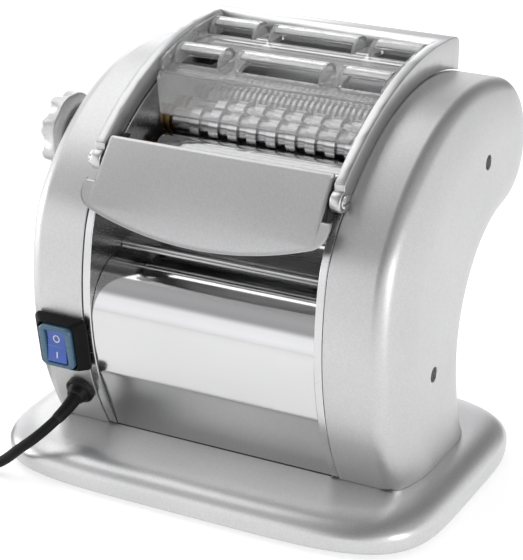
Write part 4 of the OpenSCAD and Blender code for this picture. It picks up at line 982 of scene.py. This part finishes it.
def knob_body():
    """Round grip with scoops that deepen towards its outer face."""
    # (height, change of radius): back chamfer, grip, round edge, sunk face
    levels = [(0.0, -7.0), (0.0, -5.0), (1.0, -3.6), (2.2, -1.8), (3.4, -0.5), (4.2, 0.0)]
    for k in range(1, 17):
        levels.append((4.2 + (KNOB_H - 7.2) * k / 16, 0.0))
    for k in range(1, 9):
        a = math.radians(90 * k / 8)
        levels.append((KNOB_H - KNOB_ROUND + KNOB_ROUND * math.sin(a), -KNOB_ROUND * (1 - math.cos(a))))
    levels += [(KNOB_H - 0.1, -5.0), (KNOB_H - 0.9, -6.2), (KNOB_H - 1.2, -7.4), (KNOB_H - 1.1, -14.0),
               (KNOB_H - 1.0, -24.0)]
    rings = []
    for t, back in levels:
        ring = []
        deep = smooth((t - 2.0) / (KNOB_H - 2.0)) if back > -KNOB_RIM else 0.0
        for k in range(KNOB_N):
            a = 360.0 * k / KNOB_N
            wave = (0.5 + 0.5 * math.cos(math.radians(LOBES * a))) ** SCOOP_POWER
            r = KNOB_R + back - SCOOP * deep * wave
            u = unit(a)
            ring.append((-(KNOB_X + t), KNOB_AXIS[0] + r * u[0], KNOB_AXIS[1] + r * u[1]))
        rings.append(ring)
    return new_mesh("thickness_grip", *stack(rings))


dress(knob_body(), "silver_plastic", "knob", ("thickness_knob",))


# ---- rocker switch -----------------------------------------------------------------------------

SWITCH_X, SWITCH_Z = -93.3, 85.6
BOOT, FRAME_W, FRAME_H, BOOT_H, FRAME_OUT = 35.0, 22.5, 28.5, 8.0, 10.5
ROCKER_W, ROCKER_R, PIN_Z = 13.2, 10.6, 6.0
KEY_UP, KEY_DOWN, KEY_DISH, KEY_SUNK, KEY_UNDER = 4.7, 2.4, 0.9, 0.5, -4.0
sw = on_front(SWITCH_X, SWITCH_Z)


def rounded(w, h, r, n=10):
    """Points of a rectangle of w by h with round corners."""
    pts = []
    for cx, cy, a0 in ((w / 2 - r, h / 2 - r, 0), (-w / 2 + r, h / 2 - r, 90),
                       (-w / 2 + r, -h / 2 + r, 180), (w / 2 - r, -h / 2 + r, 270)):
        for k in range(n + 1):
            u = unit(a0 + 90 * k / n)
            pts.append((cx + r * u[0], cy + r * u[1]))
    return pts


def closed_loop(name, rings):
    """A body whose last ring joins the first."""
    o = new_mesh(name, *stack(rings + [rings[0]], caps=False))
    weld(o, 0.001)
    return apply_all(o)


def framed(name, levels, place):
    """A frame from levels of (width, height, corner, out)."""
    rings = [[place(p[0], p[1], c) for p in rounded(w, h, r)] for w, h, r, c in levels]
    return closed_loop(name, rings)


boot = framed("switch_gaiter", [
    (BOOT, BOOT, 3, 0.5), (BOOT, BOOT, 3, 2.4), (BOOT - 0.8, BOOT - 0.8, 2.8, 3.1),
    (FRAME_W + 6.4, FRAME_H + 4.6, 4, 6.6), (FRAME_W + 5.0, FRAME_H + 3.6, 4, 7.3),
    (FRAME_W + 3.0, FRAME_H + 3.0, 4, BOOT_H + 0.1), (FRAME_W + 1.4, FRAME_H + 1.4, 3.5, BOOT_H),
    (FRAME_W + 0.1, FRAME_H + 0.1, 0.6, 7.0), (FRAME_W + 0.1, FRAME_H + 0.1, 0.6, 0.5)], sw)
soften(boot, 0.35, 30)
dress(boot, "black_rubber", "chassis", ("switch_boot",))
bezel = framed("switch_bezel", [
    (FRAME_W - 0.2, FRAME_H - 0.2, 3.6, 0.5), (FRAME_W, FRAME_H, 4, BOOT_H - 0.2),
    (FRAME_W, FRAME_H, 4, FRAME_OUT - 1.0), (FRAME_W - 0.6, FRAME_H - 0.6, 3.8, FRAME_OUT - 0.35),
    (FRAME_W - 1.8, FRAME_H - 1.8, 3.2, FRAME_OUT), (ROCKER_W + 2.2, 2 * ROCKER_R + 2.4, 1.4, FRAME_OUT),
    (ROCKER_W + 1.0, 2 * ROCKER_R + 1.4, 0.9, FRAME_OUT - 0.5),
    (ROCKER_W + 0.6, 2 * ROCKER_R + 1.0, 0.6, FRAME_OUT - 1.4),
    (ROCKER_W + 0.6, 2 * ROCKER_R + 1.0, 0.6, 1.0)], sw)
soften(bezel, 0.2, 40)
dress(bezel, "blue_grey_plastic", "chassis", ("switch_frame",))


def rocker_body():
    """The key, and the line of its face as (along, out)."""
    top = []
    for k in range(41):
        v = -ROCKER_R + 0.1 + (2 * ROCKER_R - 0.2) * k / 40
        s = v / ROCKER_R
        rise = lerp(KEY_UP, KEY_DOWN, smooth(0.5 + 0.5 * s)) + KEY_DISH * s * s - KEY_SUNK
        top.append((v, min(rise, math.sqrt(max(0, ROCKER_R ** 2 - v * v)) + 1.8)))
    poly = top + [(ROCKER_R - 0.6, KEY_UNDER), (-ROCKER_R + 0.6, KEY_UNDER)]
    rings = []
    for u in (-ROCKER_W / 2, ROCKER_W / 2):
        rings.append([sw(u, p[0], PIN_Z + p[1]) for p in poly])
    return new_mesh("switch_key", *stack(rings)), top


key, key_top = rocker_body()
soften(key, 0.5, 40, 3)
dress(key, "blue_plastic", "rocker", ("switch_rocker",))


def key_height(v):
    """Height of the key's face at v."""
    for (a, ha), (b, hb) in zip(key_top, key_top[1:]):
        if a <= v <= b:
            return lerp(ha, hb, (v - a) / (b - a))
    return key_top[-1][1]


PRINT_LOW, PRINT_HIGH = -0.1, 0.07  # a printed mark's faces, from the face of the key


def mark(name, points, width):
    """Printed mark: a flat raised ribbon that follows the face of the key."""
    n = len(points)
    outer, inner = [], []
    for i in range(n):
        (x, y), (x1, y1) = points[i], points[(i + 1) % n]
        x0, y0 = points[i - 1]
        dx, dy = x1 - x0, y1 - y0
        d = math.hypot(dx, dy)
        outer.append((x + dy / d * width / 2, y - dx / d * width / 2))
        inner.append((x - dy / d * width / 2, y + dx / d * width / 2))
    rings = []
    for edge, lift in ((outer, PRINT_LOW), (outer, PRINT_HIGH), (inner, PRINT_HIGH), (inner, PRINT_LOW)):
        rings.append([sw(p[0], p[1], PIN_Z + key_height(p[1]) + lift) for p in edge])
    dress(closed_loop(name, rings), "white_print", "rocker")


mark("mark_off", [(2.0 * unit(a)[0], 5.2 + 2.2 * unit(a)[1]) for a in range(0, 360, 8)], 0.75)
STROKE_HALF, STROKE_LOW, STROKE_STEP, STROKE_N = 0.38, -7.2, 0.35, 12
stroke_v = [STROKE_LOW + STROKE_STEP * k for k in range(STROKE_N)]
stroke_line = [(STROKE_HALF, v) for v in stroke_v] + [(-STROKE_HALF, v) for v in reversed(stroke_v)]
stroke = new_mesh("mark_on", *stack([[sw(x, y, PIN_Z + key_height(y) + lift) for x, y in stroke_line]
                                     for lift in (PRINT_LOW, PRINT_HIGH)]))
dress(stroke, "white_print", "rocker")


# ---- carried-over CAD nodes ----------------------------------------------------------------------

# The points of a CAD mesh that lie this close, in millimetres, are one
CAD_WELD, CAD_ANGLE = 0.002, 32


def edge_break(names, width):
    """Small rounded edges on CAD nodes."""
    for name in names:
        o = NODES[name]
        if o.hide_render:
            continue
        weld(o, CAD_WELD)
        soften(o, width, CAD_ANGLE)


# A sheet inside the rear top edge, seen through the clear guard
LINING = [(81.6, 198.0), (81.6, 214.0), (82.4, 218.6), (84.4, 223.0), (87.4, 226.2)]
lining = extrude_x("rear_lining", LINING + [(y + 1.0, z - 0.5) for y, z in reversed(LINING)],
                   -SHEET_HALF, SHEET_HALF)
soften(lining, 0.2, 50)
dress(lining, "brushed", "chassis")

NODES["hinge_brackets"].data.materials[0] = MAT["motor_black"]
# Guard arms and bar: the CAD form with its top rear edge rounded, as in the photograph
ARM_C, ARM_R, ARM_REAR, ARM_ROUND = (60.1, 48.5), 204.5, 89.5, 6.0
round_c = above(ARM_C, ARM_R - ARM_ROUND, ARM_REAR - ARM_ROUND)
round_top = angle_of(add(round_c, ARM_C, -1))
corner = arc(round_c, ARM_ROUND, 0, round_top, 16)
corner = [(ARM_REAR + 2, round_c[1])] + corner
corner += [add(corner[-1], unit(round_top), 3), (ARM_REAR + 2, 256)]
shape = bpy.data.meshes.new_from_object(NODES["guard_frame"])
shape.transform(NODES["guard_frame"].matrix_world)
guard_frame = bpy.data.objects.new("guard_arms_bar", shape)
scene.collection.objects.link(guard_frame)
weld(guard_frame, CAD_WELD)
apply_all(guard_frame)
cut(guard_frame, [stack([[(x, y, z) for y, z in corner] for x in (-95, 95)])])
soften(guard_frame, 0.5, CAD_ANGLE)
dress(guard_frame, "alloy", "guard", ("guard_frame",))
edge_break(["guard_pivots", "guard_rivets", "cover_screws", "hinge_brackets"], 0.18)
edge_break(["pasta_slide", "tie_bars", "reed_switch"], 0.2)


# ---- studio --------------------------------------------------------------------------------------

def most(tree, a, b):
    """The larger of two values in a node tree."""
    n = tree.nodes.new("ShaderNodeMath")
    n.operation = "MAXIMUM"
    tree.links.new(a, n.inputs[0])
    tree.links.new(b, n.inputs[1])
    return n.outputs[0]


def stage_paint(name, colour, lift):
    """Matt stage colour; the camera sees it brighter by lift, with its shadows kept."""
    n = Nodes(name)
    n.shader.inputs["Base Color"].default_value = (*colour, 1)
    n.shader.inputs["Roughness"].default_value = 0.7
    n.shader.inputs["Specular IOR Level"].default_value = 0.2
    path = n.node("ShaderNodeLightPath")
    glow = n.node("ShaderNodeMath", operation="MULTIPLY")
    glow.inputs[1].default_value = lift
    n.shader.inputs["Emission Color"].default_value = (1, 1, 1, 1)
    seen = path.outputs["Is Camera Ray"]
    for kind in ("Is Glossy Ray", "Is Transmission Ray"):
        seen = most(n.tree, seen, path.outputs[kind])
    n.link(seen, glow.inputs[0])
    n.link(glow.outputs[0], n.shader.inputs["Emission Strength"])
    return n.mat


FLOOR_HALF = 4
floor_me = bpy.data.meshes.new("floor")
floor_me.from_pydata([(x * FLOOR_HALF, y * FLOOR_HALF, 0) for x, y in ((-1, -1), (1, -1), (1, 1), (-1, 1))],
                     [], [(0, 1, 2, 3)])
floor = bpy.data.objects.new("floor", floor_me)
scene.collection.objects.link(floor)
floor_me.materials.append(stage_paint("floor", (0.86, 0.86, 0.865), 0.42))


def area(name, at, to, size, power):
    """A soft lamp at one point, turned to another."""
    lamp = bpy.data.lights.new(name, "AREA")
    lamp.shape, lamp.size, lamp.size_y = "RECTANGLE", size[0], size[1]
    lamp.energy = power
    o = bpy.data.objects.new(name, lamp)
    o.location = at
    o.rotation_euler = (Vector(to) - Vector(at)).to_track_quat("-Z", "Y").to_euler()
    scene.collection.objects.link(o)


area("key", (-0.75, 0.2, 1.3), (0, 0, 0.1), (1.3, 0.9), 5.0)
area("left", (-1.5, -0.35, 0.25), (-0.1, 0, 0.12), (0.6, 0.8), 6.0)
area("back", (-0.9, 1.25, 0.7), (0, -0.05, 0.05), (0.7, 0.5), 1.2)
area("right", (1.3, -0.5, 0.35), (0.1, 0, 0.12), (0.5, 0.7), 3.5)

world = bpy.data.worlds.new("studio")
scene.world = world
world.use_nodes = True
tree = world.node_tree


def world_mix(factor, a, b, blend="MIX"):
    """Mix of two colours, each a constant or a socket; so is the factor."""
    n = tree.nodes.new("ShaderNodeMix")
    n.data_type, n.blend_type = "RGBA", blend
    for socket, value in ((0, factor), (COLOUR_A, a), (COLOUR_B, b)):
        if isinstance(value, (float, tuple)):
            n.inputs[socket].default_value = value
        else:
            tree.links.new(value, n.inputs[socket])
    return n.outputs[COLOUR_OUT]


def world_ramp(value, stops):
    """Grey levels over a value from -1 to 1. The first two stops are the ends of a new ramp."""
    spread = tree.nodes.new("ShaderNodeMapRange")
    spread.inputs["From Min"].default_value = -1.0
    tree.links.new(value, spread.inputs["Value"])
    r = tree.nodes.new("ShaderNodeValToRGB")
    r.color_ramp.interpolation = "EASE"
    for k, (at, level) in enumerate(stops):
        e = r.color_ramp.elements[k] if k < 2 else r.color_ramp.elements.new(0.5 + at / 2)
        e.position = 0.5 + at / 2
        e.color = (level, level, level * 1.01, 1)
    tree.links.new(spread.outputs["Result"], r.inputs[0])
    return r.outputs[0]


# What mirrors and glass see: grey levels by height and from left to right. Other surfaces are
# lit by an even grey, and the camera sees white.
HEIGHT_STOPS = [(0.0, 1.2), (0.95, 0.45), (0.15, 1.3), (0.38, 1.25), (0.56, 0.50), (0.74, 0.55)]
SIDE_STOPS = [(-0.40, 1.0), (0.60, 0.8), (-0.24, 0.90), (-0.05, 0.18), (0.20, 0.20)]
EVEN_GREY, WHITE = (0.7, 0.7, 0.7, 1), (1, 1, 1, 1)

rays = tree.nodes.new("ShaderNodeLightPath").outputs
direction = tree.nodes.new("ShaderNodeTexCoord").outputs["Generated"]
split = tree.nodes.new("ShaderNodeSeparateXYZ")
tree.links.new(direction, split.inputs[0])
by_height = world_ramp(split.outputs["Z"], HEIGHT_STOPS)
by_side = world_ramp(split.outputs["X"], SIDE_STOPS)
mirrored = world_mix(1.0, by_height, by_side, "MULTIPLY")
lit = world_mix(most(tree, rays["Is Glossy Ray"], rays["Is Transmission Ray"]), EVEN_GREY, mirrored)
background = tree.nodes["Background"]
background.inputs["Strength"].default_value = 1.0
tree.links.new(world_mix(rays["Is Camera Ray"], lit, WHITE), background.inputs["Color"])

scene.view_settings.view_transform = "Standard"
